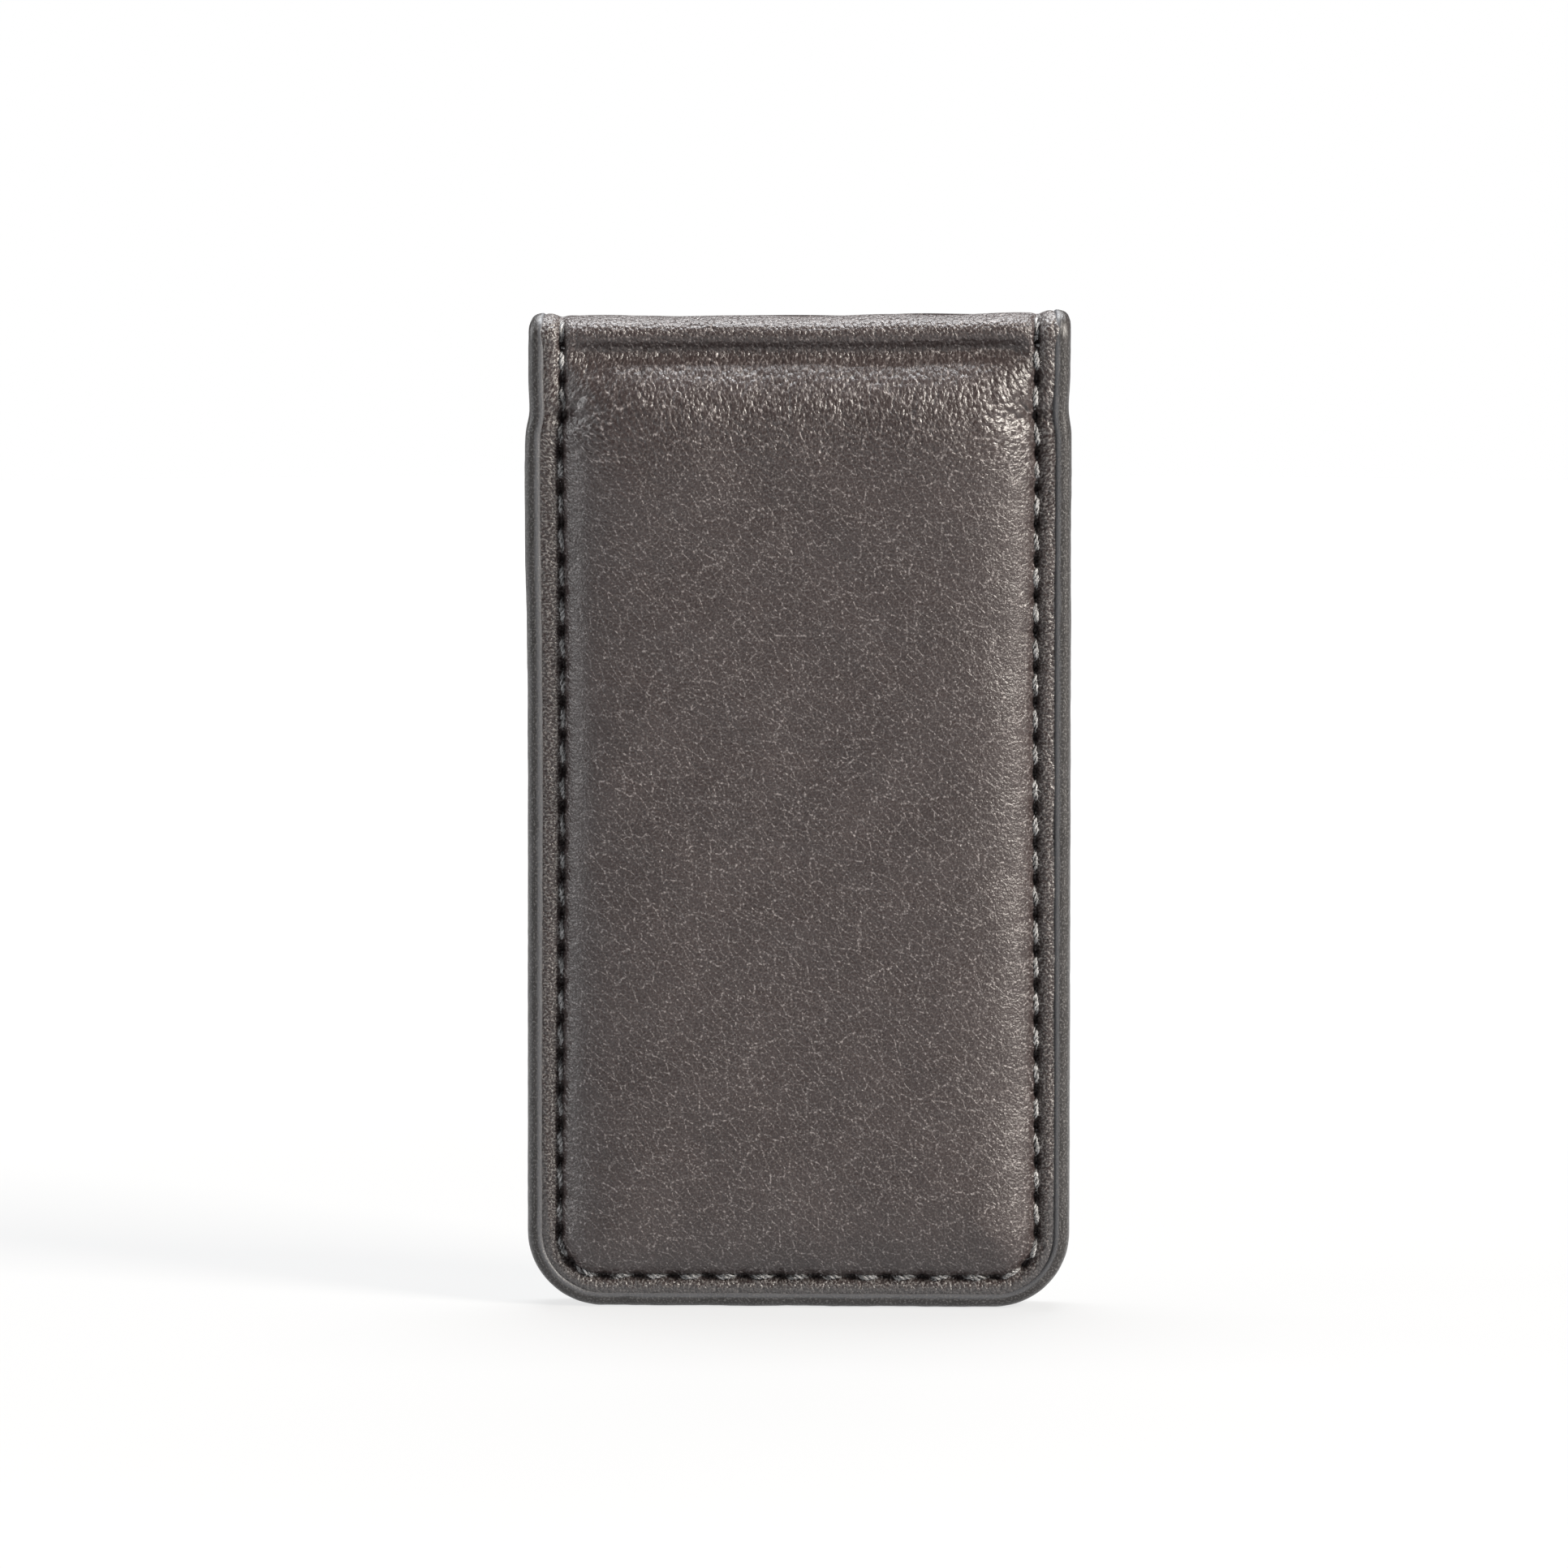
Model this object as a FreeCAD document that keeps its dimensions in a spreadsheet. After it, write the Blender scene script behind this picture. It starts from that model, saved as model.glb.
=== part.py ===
"""A magnetic money clip: one padded leather strip, folded in half, that stands on its open end.

Millimetres. X runs across the strip, Y through its thickness and Z up. The origin is on the ground, under
the middle of the clip. The front flap is on the -Y side and the back flap on the +Y side: the back flap's
pieces are the front flap's pieces turned half a turn about Z. The fold over the top is a half tube along X.
"""
import FreeCAD, Part
import math
import os
import re

import Sketcher

V = FreeCAD.Vector

DRIVING_SIZES = {
    # the whole clip
    "clip_width": 38.1,
    "clip_height": 69.85,
    "corner_radius": 5.3,
    "flap_gap": 0.1,
    # leather and its painted edge
    "cover_thickness": 0.9,
    "lining_thickness": 0.8,
    "edge_coat": 0.45,
    "edge_coat_rise": 0.2,
    "edge_coat_round": 0.4,
    # padding inside each flap
    "board_thickness": 1.5,
    "foam_thickness": 0.8,
    "foam_round": 0.55,
    "pad_half_width": 15.4,
    "pad_bottom": 3.55,
    "pad_top": 66.0,
    "pad_corner": 2.2,
    "pad_wall": 0.85,
    "pad_round": 1.5,
    "slip_gap": 0.05,
    # magnets near the open end
    "magnet_diameter": 10.0,
    "magnet_spread": 8.0,
    "magnet_height": 12.0,
    # seam round the edge
    "seam_inset": 2.3,
    "seam_bottom": 2.2,
    "seam_corner": 3.0,
    "groove_width": 0.8,
    "cover_groove_depth": 0.3,
    "lining_groove_depth": 0.5,
    "stitch_pitch": 2.5,
    "stitch_length": 2.0,
    "stitch_slant": 6.0,
    "cover_thread": 0.45,
    "lining_thread": 0.4,
    # the thread's end, tacked down below the seam
    "tack_across": 4.3,
    "tack_height": 1.25,
    "tack_length": 0.9,
    "tack_slant": 60.0,
}

LINING_FACE = "(flap_gap / 2)"
COVER_BACK = "(flap_gap / 2 + lining_thickness)"
COVER_FACE = "(flap_gap / 2 + lining_thickness + cover_thickness)"
COAT_FACE = f"({COVER_FACE} + edge_coat_rise)"
PAD_DEPTH = "(board_thickness + foam_thickness)"
FOLD_HEIGHT = f"(clip_height - {COAT_FACE})"
CUT_HALF_WIDTH = "(clip_width / 2 - edge_coat)"
CUT_CORNER = "(corner_radius - edge_coat)"
SEAM_HALF_WIDTH = "(clip_width / 2 - seam_inset)"
SLIP = "(0 - slip_gap)"

HALF_TURN = FreeCAD.Placement(V(0, 0, 0), FreeCAD.Rotation(V(0, 0, 1), 180))
ALONG_X = FreeCAD.Rotation(V(1, 1, 1), 120)
TOWARDS_FRONT = FreeCAD.Rotation(V(1, 0, 0), 90)
PAST_THE_TOP = 5.0
TINY = 1e-6

# angles round the fold, from its back (0) to its front (180)
FOLD_STITCH_STARTS = (12.5, 102.5)
FOLD_STITCH_TURN = 65.0
FOLD_LINING_STITCH = (30.0, 120.0)

doc = FreeCAD.newDocument("money_clip")
sheet = doc.addObject("Spreadsheet::Sheet", "Sizes")
subparts = []


def fill_sheet():
    for row, (alias, number) in enumerate(DRIVING_SIZES.items(), start=1):
        sheet.set(f"A{row}", alias)
        sheet.set(f"B{row}", str(number))
        sheet.setAlias(f"B{row}", alias)
    doc.recompute()


def bound(expression):
    """The expression with the sheet's name in front of each of its sizes."""
    return re.sub(r"[a-z_]{3,}", lambda word: f"{sheet.Name}.{word.group()}", expression)


def size(expression):
    """The expression's value in millimetres, or in degrees for an angle."""
    return float(sheet.evalExpression(bound(expression)))


def keep(part, label, side="front"):
    """Names a finished sub-part, and turns it round if it belongs to the back flap."""
    part.Label = label
    if side == "back":
        part.Placement = HALF_TURN.multiply(part.Placement)
    subparts.append(part)


# Sketches and features ----------------------------------------------------------------------------


def add_sketch(body, name, depth):
    """A sketch in a plane parallel to XZ, at the given depth in front of it (towards -Y)."""
    sketch = body.newObject("Sketcher::SketchObject", name)
    plane = next(f for f in body.Origin.OriginFeatures if f.Role == "XZ_Plane")
    sketch.AttachmentSupport = (plane, [""])
    sketch.MapMode = "FlatFace"
    sketch.setExpression("AttachmentOffset.Base.z", bound(depth))
    doc.recompute()
    return sketch


def set_size(sketch, constraint, name, expression):
    """Adds a constraint with a size, and binds that size to the sheet."""
    index = sketch.addConstraint(Sketcher.Constraint(*constraint, size(expression)))
    sketch.renameConstraint(index, name)
    sketch.setExpression(f"Constraints.{name}", bound(expression))


def draw_plate(sketch, name, half_width, low, high, low_radius, high_radius=None):
    """A plate's outline, centred across, with two rounded low corners and round or square high ones."""
    w, b, t = size(half_width), size(low), size(high)
    r = size(low_radius)
    q = size(high_radius) if high_radius else 0.0
    ends = {
        "bottom": (V(-w + r, b), V(w - r, b)),
        "right": (V(w, b + r), V(w, t - q)),
        "top": (V(w - q, t), V(-w + q, t)),
        "left": (V(-w, t - q), V(-w, b + r)),
    }
    line = {}
    for edge, (start, end) in ends.items():
        line[edge] = sketch.addGeometry(Part.LineSegment(start, end), False)
        direction = "Horizontal" if edge in ("bottom", "top") else "Vertical"
        sketch.addConstraint(Sketcher.Constraint(direction, line[edge]))
    join_corner(sketch, line["bottom"], line["right"], V(w - r, b + r), r, 270)
    join_corner(sketch, line["left"], line["bottom"], V(-w + r, b + r), r, 180)
    join_corner(sketch, line["right"], line["top"], V(w - q, t - q), q, 0)
    join_corner(sketch, line["top"], line["left"], V(-w + q, t - q), q, 90)
    set_size(sketch, ("DistanceX", line["left"], 1, -1, 1), f"{name}_left", half_width)
    set_size(sketch, ("DistanceX", -1, 1, line["right"], 1), f"{name}_right", half_width)
    if b == 0.0:
        sketch.addConstraint(Sketcher.Constraint("PointOnObject", line["bottom"], 1, -1))
    else:
        set_size(sketch, ("DistanceY", -1, 1, line["bottom"], 1), f"{name}_low", low)
    set_size(sketch, ("DistanceY", -1, 1, line["top"], 1), f"{name}_high", high)
    arcs = [i for i, g in enumerate(sketch.Geometry) if isinstance(g, Part.ArcOfCircle)]
    new_arcs = [i for i in arcs if i > line["left"]]
    for number, arc in enumerate(new_arcs):
        radius = low_radius if number < 2 else high_radius
        set_size(sketch, ("Radius", arc), f"{name}_corner_{number}", radius)


def join_corner(sketch, first, second, centre, radius, start_degrees):
    """Joins one line's end to the next line's start, with a tangent arc if the corner has a radius."""
    if radius == 0.0:
        sketch.addConstraint(Sketcher.Constraint("Coincident", first, 2, second, 1))
        return
    start = math.radians(start_degrees)
    circle = Part.Circle(centre, V(0, 0, 1), radius)
    arc = sketch.addGeometry(Part.ArcOfCircle(circle, start, start + math.pi / 2), False)
    sketch.addConstraint(Sketcher.Constraint("Tangent", first, 2, arc, 1))
    sketch.addConstraint(Sketcher.Constraint("Tangent", arc, 2, second, 1))


def add_feature(body, kind, sketch, length, reverse=False):
    """Pads the sketch towards -Y, or cuts it towards +Y; reverse swaps the direction."""
    feature = body.newObject(f"PartDesign::{kind}", f"{sketch.Name}_{kind.lower()}")
    volume_before = 0.0 if body.Shape.isNull() else body.Shape.Volume
    feature.Profile = sketch
    feature.Reversed = reverse
    feature.setExpression("Length", bound(length))
    body.Tip = feature
    doc.recompute()
    change = feature.Shape.Volume - volume_before
    if (kind == "Pocket") != (change < 0):
        raise RuntimeError(f"{feature.Name} changed the volume by {change:.3f} cubic millimetres")
    return feature


def add_fillet(body, depth, radius, below=None):
    """Rounds every edge that lies at one depth, but none that stays at or above the height below."""
    base = body.Tip
    level = -size(depth)
    limit = math.inf if below is None else size(below) - TINY
    names = []
    for number, edge in enumerate(base.Shape.Edges, start=1):
        box = edge.BoundBox
        at_depth = abs(box.YMin - level) < TINY and abs(box.YMax - level) < TINY
        if at_depth and box.ZMin < limit:
            names.append(f"Edge{number}")
    fillet = body.newObject("PartDesign::Fillet", f"{base.Name}_round")
    fillet.Base = (base, names)
    fillet.setExpression("Radius", bound(radius))
    body.Tip = fillet
    doc.recompute()
    if fillet.Shape.Volume >= base.Shape.Volume:
        raise RuntimeError(f"{fillet.Name} rounded nothing")


def cut_seam_groove(body, name, face, depth, reverse):
    """The U-shaped groove that the stitches lie in: two nested outlines that run on past the top."""
    sketch = add_sketch(body, name, face)
    for edge, growth in (("outer", "(groove_width / 2)"), ("inner", "(0 - groove_width / 2)")):
        draw_plate(
            sketch,
            edge,
            f"{SEAM_HALF_WIDTH} + {growth}",
            f"seam_bottom - {growth}",
            f"clip_height + {PAST_THE_TOP} + {growth}",
            f"seam_corner + {growth}",
        )
    add_feature(body, "Pocket", sketch, depth, reverse)


# The flaps' sheets and padding --------------------------------------------------------------------


def make_cover(side):
    """The flap's face leather: a flat margin, a raised panel over the padding and a hollow behind it."""
    body = doc.addObject("PartDesign::Body", f"{side}_cover_leather")
    outline = add_sketch(body, f"{side}_cover_outline", COVER_BACK)
    draw_plate(outline, "cut", CUT_HALF_WIDTH, "edge_coat", FOLD_HEIGHT, CUT_CORNER)
    add_feature(body, "Pad", outline, "cover_thickness")
    panel = add_sketch(body, f"{side}_cover_panel", COVER_FACE)
    draw_pad_plate(panel, "pad_wall")
    add_feature(body, "Pad", panel, PAD_DEPTH)
    add_fillet(body, f"{COVER_FACE} + {PAD_DEPTH}", "pad_round")
    hollow = add_sketch(body, f"{side}_cover_hollow", COVER_BACK)
    draw_pad_plate(hollow, "0")
    add_feature(body, "Pocket", hollow, PAD_DEPTH, reverse=True)
    cut_seam_groove(body, f"{side}_cover_groove", COVER_FACE, "cover_groove_depth", reverse=False)
    keep(body, f"{side}_cover_leather", side)


def draw_pad_plate(sketch, growth):
    """The padding's rounded outline, grown by a size on every side."""
    draw_plate(
        sketch,
        "pad",
        f"pad_half_width + {growth}",
        f"pad_bottom - {growth}",
        f"pad_top + {growth}",
        f"pad_corner + {growth}",
        f"pad_corner + {growth}",
    )


def make_lining(side):
    body = doc.addObject("PartDesign::Body", f"{side}_lining")
    outline = add_sketch(body, f"{side}_lining_outline", LINING_FACE)
    draw_plate(outline, "cut", CUT_HALF_WIDTH, "edge_coat", FOLD_HEIGHT, CUT_CORNER)
    add_feature(body, "Pad", outline, "lining_thickness")
    cut_seam_groove(body, f"{side}_lining_groove", LINING_FACE, "lining_groove_depth", reverse=True)
    keep(body, f"{side}_lining", side)


def make_board(side):
    """The stiffener: a fibre board with a round seat for each magnet."""
    body = doc.addObject("PartDesign::Body", f"{side}_stiffener_board")
    outline = add_sketch(body, f"{side}_board_outline", COVER_BACK)
    draw_pad_plate(outline, SLIP)
    add_feature(body, "Pad", outline, "board_thickness")
    seats = add_sketch(body, f"{side}_magnet_seats", f"{COVER_BACK} + board_thickness")
    seat_radius = "magnet_diameter / 2 + slip_gap"
    for number, sign in enumerate((-1, 1)):
        centre = V(sign * size("magnet_spread"), size("magnet_height"))
        circle = seats.addGeometry(Part.Circle(centre, V(0, 0, 1), size(seat_radius)), False)
        across = ("DistanceX", circle, 3, -1, 1) if sign < 0 else ("DistanceX", -1, 1, circle, 3)
        set_size(seats, ("Radius", circle), f"seat_{number}", seat_radius)
        set_size(seats, across, f"across_{number}", "magnet_spread")
        set_size(seats, ("DistanceY", -1, 1, circle, 3), f"up_{number}", "magnet_height")
    add_feature(body, "Pocket", seats, "board_thickness")
    keep(body, f"{side}_stiffener_board", side)


def make_foam(side):
    body = doc.addObject("PartDesign::Body", f"{side}_foam_pad")
    outline = add_sketch(body, f"{side}_foam_outline", f"{COVER_BACK} + board_thickness")
    draw_pad_plate(outline, SLIP)
    add_feature(body, "Pad", outline, "foam_thickness")
    add_fillet(body, f"{COVER_BACK} + {PAD_DEPTH}", "foam_round")
    keep(body, f"{side}_foam_pad", side)


def make_magnet(side, hand):
    """A disc magnet, lying in its seat in the stiffener board. hand is left (-X) or right (+X)."""
    disc = doc.addObject("Part::Cylinder", f"{side}_{hand}_magnet")
    disc.setExpression("Radius", bound("magnet_diameter / 2"))
    disc.setExpression("Height", bound("board_thickness"))
    across = -size("magnet_spread") if (hand == "left") == (side == "front") else size("magnet_spread")
    seat = V(across, -size(COVER_BACK), size("magnet_height"))
    disc.Placement = FreeCAD.Placement(seat, TOWARDS_FRONT)
    keep(disc, f"{side}_{hand}_magnet", side)


def make_edge_coat(side):
    """The painted edge: a rounded band along the flap's two sides and its open end."""
    body = doc.addObject("PartDesign::Body", f"{side}_edge_coat")
    outside = add_sketch(body, f"{side}_coat_outside", LINING_FACE)
    draw_plate(outside, "clip", "clip_width / 2", "0", FOLD_HEIGHT, "corner_radius")
    add_feature(body, "Pad", outside, f"{COAT_FACE} - {LINING_FACE}")
    for face in (LINING_FACE, COAT_FACE):
        add_fillet(body, face, "edge_coat_round", below=FOLD_HEIGHT)
    inside = add_sketch(body, f"{side}_coat_inside", COAT_FACE)
    draw_plate(inside, "cut", CUT_HALF_WIDTH, "edge_coat", f"clip_height + {PAST_THE_TOP}", CUT_CORNER)
    add_feature(body, "Pocket", inside, f"{COAT_FACE} - {LINING_FACE}")
    keep(body, f"{side}_edge_coat", side)


# The fold -----------------------------------------------------------------------------------------


def add_half_rod(name, radius, left, right):
    """The upper half of a rod along X, centred on the fold."""
    rod = doc.addObject("Part::Cylinder", name)
    rod.setExpression("Radius", bound(radius))
    rod.setExpression("Height", bound(f"({right}) - ({left})"))
    rod.Angle = 180
    rod.Placement = FreeCAD.Placement(V(size(left), 0, size(FOLD_HEIGHT)), ALONG_X)
    rod.setExpression("Placement.Base.x", bound(left))
    rod.setExpression("Placement.Base.z", bound(FOLD_HEIGHT))
    return rod


def cut(base, tool, name):
    difference = doc.addObject("Part::Cut", name)
    difference.Base = base
    difference.Tool = tool
    doc.recompute()
    if difference.Shape.Volume >= base.Shape.Volume:
        raise RuntimeError(f"{name} cut nothing away")
    return difference


def add_half_tube(name, outer, inner, left, right):
    outside = add_half_rod(f"{name}_outside", outer, left, right)
    inside = add_half_rod(f"{name}_inside", inner, left, right)
    return cut(outside, inside, name)


def make_fold_sheet(label, outer, inner, groove_outer, groove_inner):
    """One sheet of the fold, with a groove for the stitches near each side."""
    sheet_tube = add_half_tube(f"{label}_tube", outer, inner, f"-1 * {CUT_HALF_WIDTH}", CUT_HALF_WIDTH)
    for hand, sign in (("left", "-1"), ("right", "1")):
        start = f"{sign} * {SEAM_HALF_WIDTH} - groove_width / 2"
        end = f"{sign} * {SEAM_HALF_WIDTH} + groove_width / 2"
        groove = add_half_tube(f"{label}_{hand}_groove", groove_outer, groove_inner, start, end)
        sheet_tube = cut(sheet_tube, groove, f"{label}_less_{hand}_groove")
    keep(sheet_tube, label)


def make_fold_edge_coat(hand):
    start, end = CUT_HALF_WIDTH, "clip_width / 2"
    if hand == "left":
        start, end = f"-1 * {end}", f"-1 * {start}"
    label = f"fold_{hand}_edge_coat"
    keep(add_half_tube(label, COAT_FACE, LINING_FACE, start, end), label)


# Stitches -----------------------------------------------------------------------------------------


def thread_bar(length, diameter):
    """A straight bit of thread along X with round ends, centred on the origin."""
    reach, r = length / 2, diameter / 2
    shoulder = reach - r
    slope = r * math.sqrt(0.5)
    left_cap = Part.Arc(V(-reach, 0, 0), V(-shoulder - slope, slope, 0), V(-shoulder, r, 0))
    right_cap = Part.Arc(V(shoulder, r, 0), V(shoulder + slope, slope, 0), V(reach, 0, 0))
    side = Part.LineSegment(V(-shoulder, r, 0), V(shoulder, r, 0))
    axis = Part.LineSegment(V(reach, 0, 0), V(-reach, 0, 0))
    outline = Part.Wire([curve.toShape() for curve in (left_cap, side, right_cap, axis)])
    return Part.Face(outline).revolve(V(0, 0, 0), V(1, 0, 0), 360)


def seam_places():
    """Each stitch's middle and direction (x, z, degrees), from the fold down one side and up the other."""
    w, low, r, top = size(SEAM_HALF_WIDTH), size("seam_bottom"), size("seam_corner"), size(FOLD_HEIGHT)
    side, corner, bottom = top - low - r, math.pi / 2 * r, 2 * (w - r)
    seam_length = 2 * side + 2 * corner + bottom
    count = round(seam_length / size("stitch_pitch"))
    for number in range(count):
        along = (number + 0.5) * seam_length / count
        mirrored = along > seam_length / 2
        travelled = seam_length - along if mirrored else along
        if travelled < side:
            x, z, turn = -w, top - travelled, 0.0
        elif travelled < side + corner:
            turn = (travelled - side) / r
            x, z = -w + r - r * math.cos(turn), low + r - r * math.sin(turn)
        else:
            x, z, turn = -w + r + travelled - side - corner, low, math.pi / 2
        degrees = -90 + math.degrees(turn)
        yield (-x, z, -degrees) if mirrored else (x, z, degrees)


def make_flap_stitches(label, side, depth, diameter, slant):
    """The stitches on one face of a flap. Only those on straight runs are slanted."""
    bar = thread_bar(size("stitch_length"), diameter)
    stitches = []
    for x, z, degrees in seam_places():
        straight = abs(degrees) in (0.0, 90.0)
        lean = slant if straight else 0.0
        stitches.append(lay_on_flap(bar, x, depth, z, degrees + lean))
    if label == "front_cover_stitches":
        tack = thread_bar(size("tack_length"), diameter)
        tack_depth = size(f"{COVER_FACE} + cover_thread / 2")
        stitches.append(
            lay_on_flap(tack, size("tack_across"), tack_depth, size("tack_height"), size("tack_slant"))
        )
    feature = doc.addObject("Part::Feature", label)
    feature.Shape = Part.makeCompound(stitches)
    keep(feature, label, side)


def lay_on_flap(bar, x, depth, z, degrees):
    """The bar in the flap's plane, turned from the X direction towards Z."""
    turn = FreeCAD.Rotation(V(0, 1, 0), -degrees)
    return bar.transformed(FreeCAD.Placement(V(x, -depth, z), turn).toMatrix())


def make_fold_stitches(label, hand, radius, diameter, spans):
    """The stitches that bend over the fold on one side. spans holds each one's start angle and turn."""
    across = size(SEAM_HALF_WIDTH) * (-1 if hand == "left" else 1)
    centre = V(across, 0, size(FOLD_HEIGHT))
    stitches = []
    for start, turn in spans:
        ring = Part.makeTorus(radius, diameter / 2, V(0, 0, 0), V(0, 0, 1), -180, 180, turn)
        ring.rotate(V(0, 0, 0), V(0, 0, 1), start)
        stitches.append(ring.transformed(FreeCAD.Placement(centre, ALONG_X).toMatrix()))
    feature = doc.addObject("Part::Feature", label)
    feature.Shape = Part.makeCompound(stitches)
    keep(feature, label)


# The clip -----------------------------------------------------------------------------------------


def make_flap(side):
    make_cover(side)
    make_foam(side)
    make_board(side)
    for hand in ("left", "right"):
        make_magnet(side, hand)
    make_lining(side)
    make_edge_coat(side)
    cover_depth = size(f"{COVER_FACE} - cover_groove_depth + cover_thread / 2")
    lining_depth = size(f"{LINING_FACE} + lining_groove_depth - lining_thread / 2")
    slant = size("stitch_slant")
    make_flap_stitches(f"{side}_cover_stitches", side, cover_depth, size("cover_thread"), slant)
    make_flap_stitches(f"{side}_lining_stitches", side, lining_depth, size("lining_thread"), 0.0)


def make_fold():
    groove_floor = f"({COVER_FACE} - cover_groove_depth)"
    groove_roof = f"({LINING_FACE} + lining_groove_depth)"
    make_fold_sheet("fold_cover_leather", COVER_FACE, COVER_BACK, COVER_FACE, groove_floor)
    make_fold_sheet("fold_lining", COVER_BACK, LINING_FACE, groove_roof, LINING_FACE)
    cover_radius = size(f"{groove_floor} + cover_thread / 2")
    lining_radius = size(f"{groove_roof} - lining_thread / 2")
    cover_spans = [(start, FOLD_STITCH_TURN) for start in FOLD_STITCH_STARTS]
    lining_spans = [FOLD_LINING_STITCH]
    for hand in ("left", "right"):
        make_fold_edge_coat(hand)
        cover_name, lining_name = f"fold_{hand}_cover_stitches", f"fold_{hand}_lining_stitches"
        make_fold_stitches(cover_name, hand, cover_radius, size("cover_thread"), cover_spans)
        make_fold_stitches(lining_name, hand, lining_radius, size("lining_thread"), lining_spans)


def check_document():
    """Stops if any object failed, or any sub-part isn't made of valid closed solids."""
    doc.recompute()
    for item in doc.Objects:
        if "Invalid" in item.State or "Error" in item.State:
            raise RuntimeError(f"{item.Name} is {item.State}")
    for part in subparts:
        shape = part.Shape
        if shape.isNull() or not shape.isValid() or not shape.Solids:
            raise RuntimeError(f"{part.Label} has no valid solid")
        if "stitches" not in part.Label and len(shape.Solids) != 1:
            raise RuntimeError(f"{part.Label} has {len(shape.Solids)} solids")


def write_steps():
    os.makedirs("parts", exist_ok=True)
    for part in subparts:
        part.Shape.exportStep(f"parts/{part.Label}.step")
        box = part.Shape.optimalBoundingBox(False)
        limits = (box.XMin, box.XMax, box.YMin, box.YMax, box.ZMin, box.ZMax)
        print(f"{part.Label:28s} {part.Shape.Volume:9.2f} mm3 ", *(f"{limit:7.2f}" for limit in limits))


fill_sheet()
make_flap("front")
make_flap("back")
make_fold()
check_document()
write_steps()
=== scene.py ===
"""A padded leather money clip that folds in half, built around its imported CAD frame.

The leather strip is described flat and then folded. A point of it has three strip coordinates, in
millimetres: x across, level along, and height above the joint between face leather and lining. Below the
fold, level is simply the height above the floor. place() turns them into the frame's metres.
"""

import math

import bpy
import numpy as np
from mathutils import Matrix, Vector


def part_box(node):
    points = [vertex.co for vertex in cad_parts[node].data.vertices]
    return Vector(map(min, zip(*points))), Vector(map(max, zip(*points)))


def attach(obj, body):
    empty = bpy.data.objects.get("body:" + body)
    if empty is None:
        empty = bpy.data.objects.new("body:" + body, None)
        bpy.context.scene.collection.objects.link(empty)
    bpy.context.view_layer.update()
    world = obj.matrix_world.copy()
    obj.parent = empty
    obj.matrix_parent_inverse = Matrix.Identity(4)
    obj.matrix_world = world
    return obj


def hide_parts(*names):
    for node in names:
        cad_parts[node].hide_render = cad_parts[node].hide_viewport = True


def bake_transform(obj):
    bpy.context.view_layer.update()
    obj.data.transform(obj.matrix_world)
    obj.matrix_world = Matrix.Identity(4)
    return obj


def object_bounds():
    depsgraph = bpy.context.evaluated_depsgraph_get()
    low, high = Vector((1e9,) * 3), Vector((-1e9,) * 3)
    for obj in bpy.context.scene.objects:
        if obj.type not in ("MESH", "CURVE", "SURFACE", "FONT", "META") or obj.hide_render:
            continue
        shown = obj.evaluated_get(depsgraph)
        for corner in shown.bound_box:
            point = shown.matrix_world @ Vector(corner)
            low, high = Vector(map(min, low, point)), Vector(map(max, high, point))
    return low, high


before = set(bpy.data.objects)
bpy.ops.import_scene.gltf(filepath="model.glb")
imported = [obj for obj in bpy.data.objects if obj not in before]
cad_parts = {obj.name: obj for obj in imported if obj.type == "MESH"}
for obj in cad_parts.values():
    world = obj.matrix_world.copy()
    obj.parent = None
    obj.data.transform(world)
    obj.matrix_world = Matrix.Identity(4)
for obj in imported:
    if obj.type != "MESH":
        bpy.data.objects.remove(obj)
cad_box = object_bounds()

FRONT, BACK = -1, 1
SIDE_NAMES = {FRONT: "front", BACK: "back"}
SEEDS = {FRONT: 11, BACK: 57}
HANDS = ("left", "right")
MM = 0.001


def low(node, axis):
    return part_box(node)[0][axis] / MM


def high(node, axis):
    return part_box(node)[1][axis] / MM


# ---- sizes of the strip, read from the frame (mm)
HALF_WIDTH = high("front_edge_coat", 0)
LEATHER_HALF = high("front_cover_leather", 0)
LEATHER_LOW = low("front_cover_leather", 2)
FOLD_HEIGHT = high("front_cover_leather", 2)
BEND_RADIUS = -low("front_lining", 1)
COVER_FACE = -low("fold_cover_leather", 1) - BEND_RADIUS
PANEL_FACE = -low("front_cover_leather", 1) - BEND_RADIUS
LINING_FACE = -high("front_lining", 1) - BEND_RADIUS
COAT_FACE = -low("front_edge_coat", 1) - BEND_RADIUS
BOARD_FACE = -low("front_stiffener_board", 1) - BEND_RADIUS
BOARD_HALF = high("front_stiffener_board", 0)
BOARD_LOW = low("front_stiffener_board", 2)
BOARD_HIGH = high("front_stiffener_board", 2)
MAGNET_SPREAD = (low("front_right_magnet", 0) + high("front_right_magnet", 0)) / 2
MAGNET_HEIGHT = (low("front_right_magnet", 2) + high("front_right_magnet", 2)) / 2
MAGNET_RADIUS = (high("front_right_magnet", 2) - low("front_right_magnet", 2)) / 2
BEND_LENGTH = BEND_RADIUS * math.pi / 2
CREST = FOLD_HEIGHT + BEND_LENGTH

# ---- sizes that the frame's boxes don't give (mm)
LEATHER = 0.9
LEATHER_CORNER = 4.85
FOLD_CORNER = 0.30
SEAM_INSET = 2.3
SEAM_HALF = HALF_WIDTH - SEAM_INSET
SEAM_LOW = 2.2
SEAM_CORNER = 3.0
STITCH_PITCH = 2.5
NEEDLE_THREAD = 0.41
BOBBIN_THREAD = 0.36
# how far in from the leather's edge the ridge of the edge paint lies, where its painted highlight runs
RIDGE_INSET = 0.44
# where the padding's rise begins below the fold, and how far it takes to rise there and at the seams
PANEL_TOP = 67.1
TOP_SHOULDER = 2.1
SHOULDER = 2.2
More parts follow.
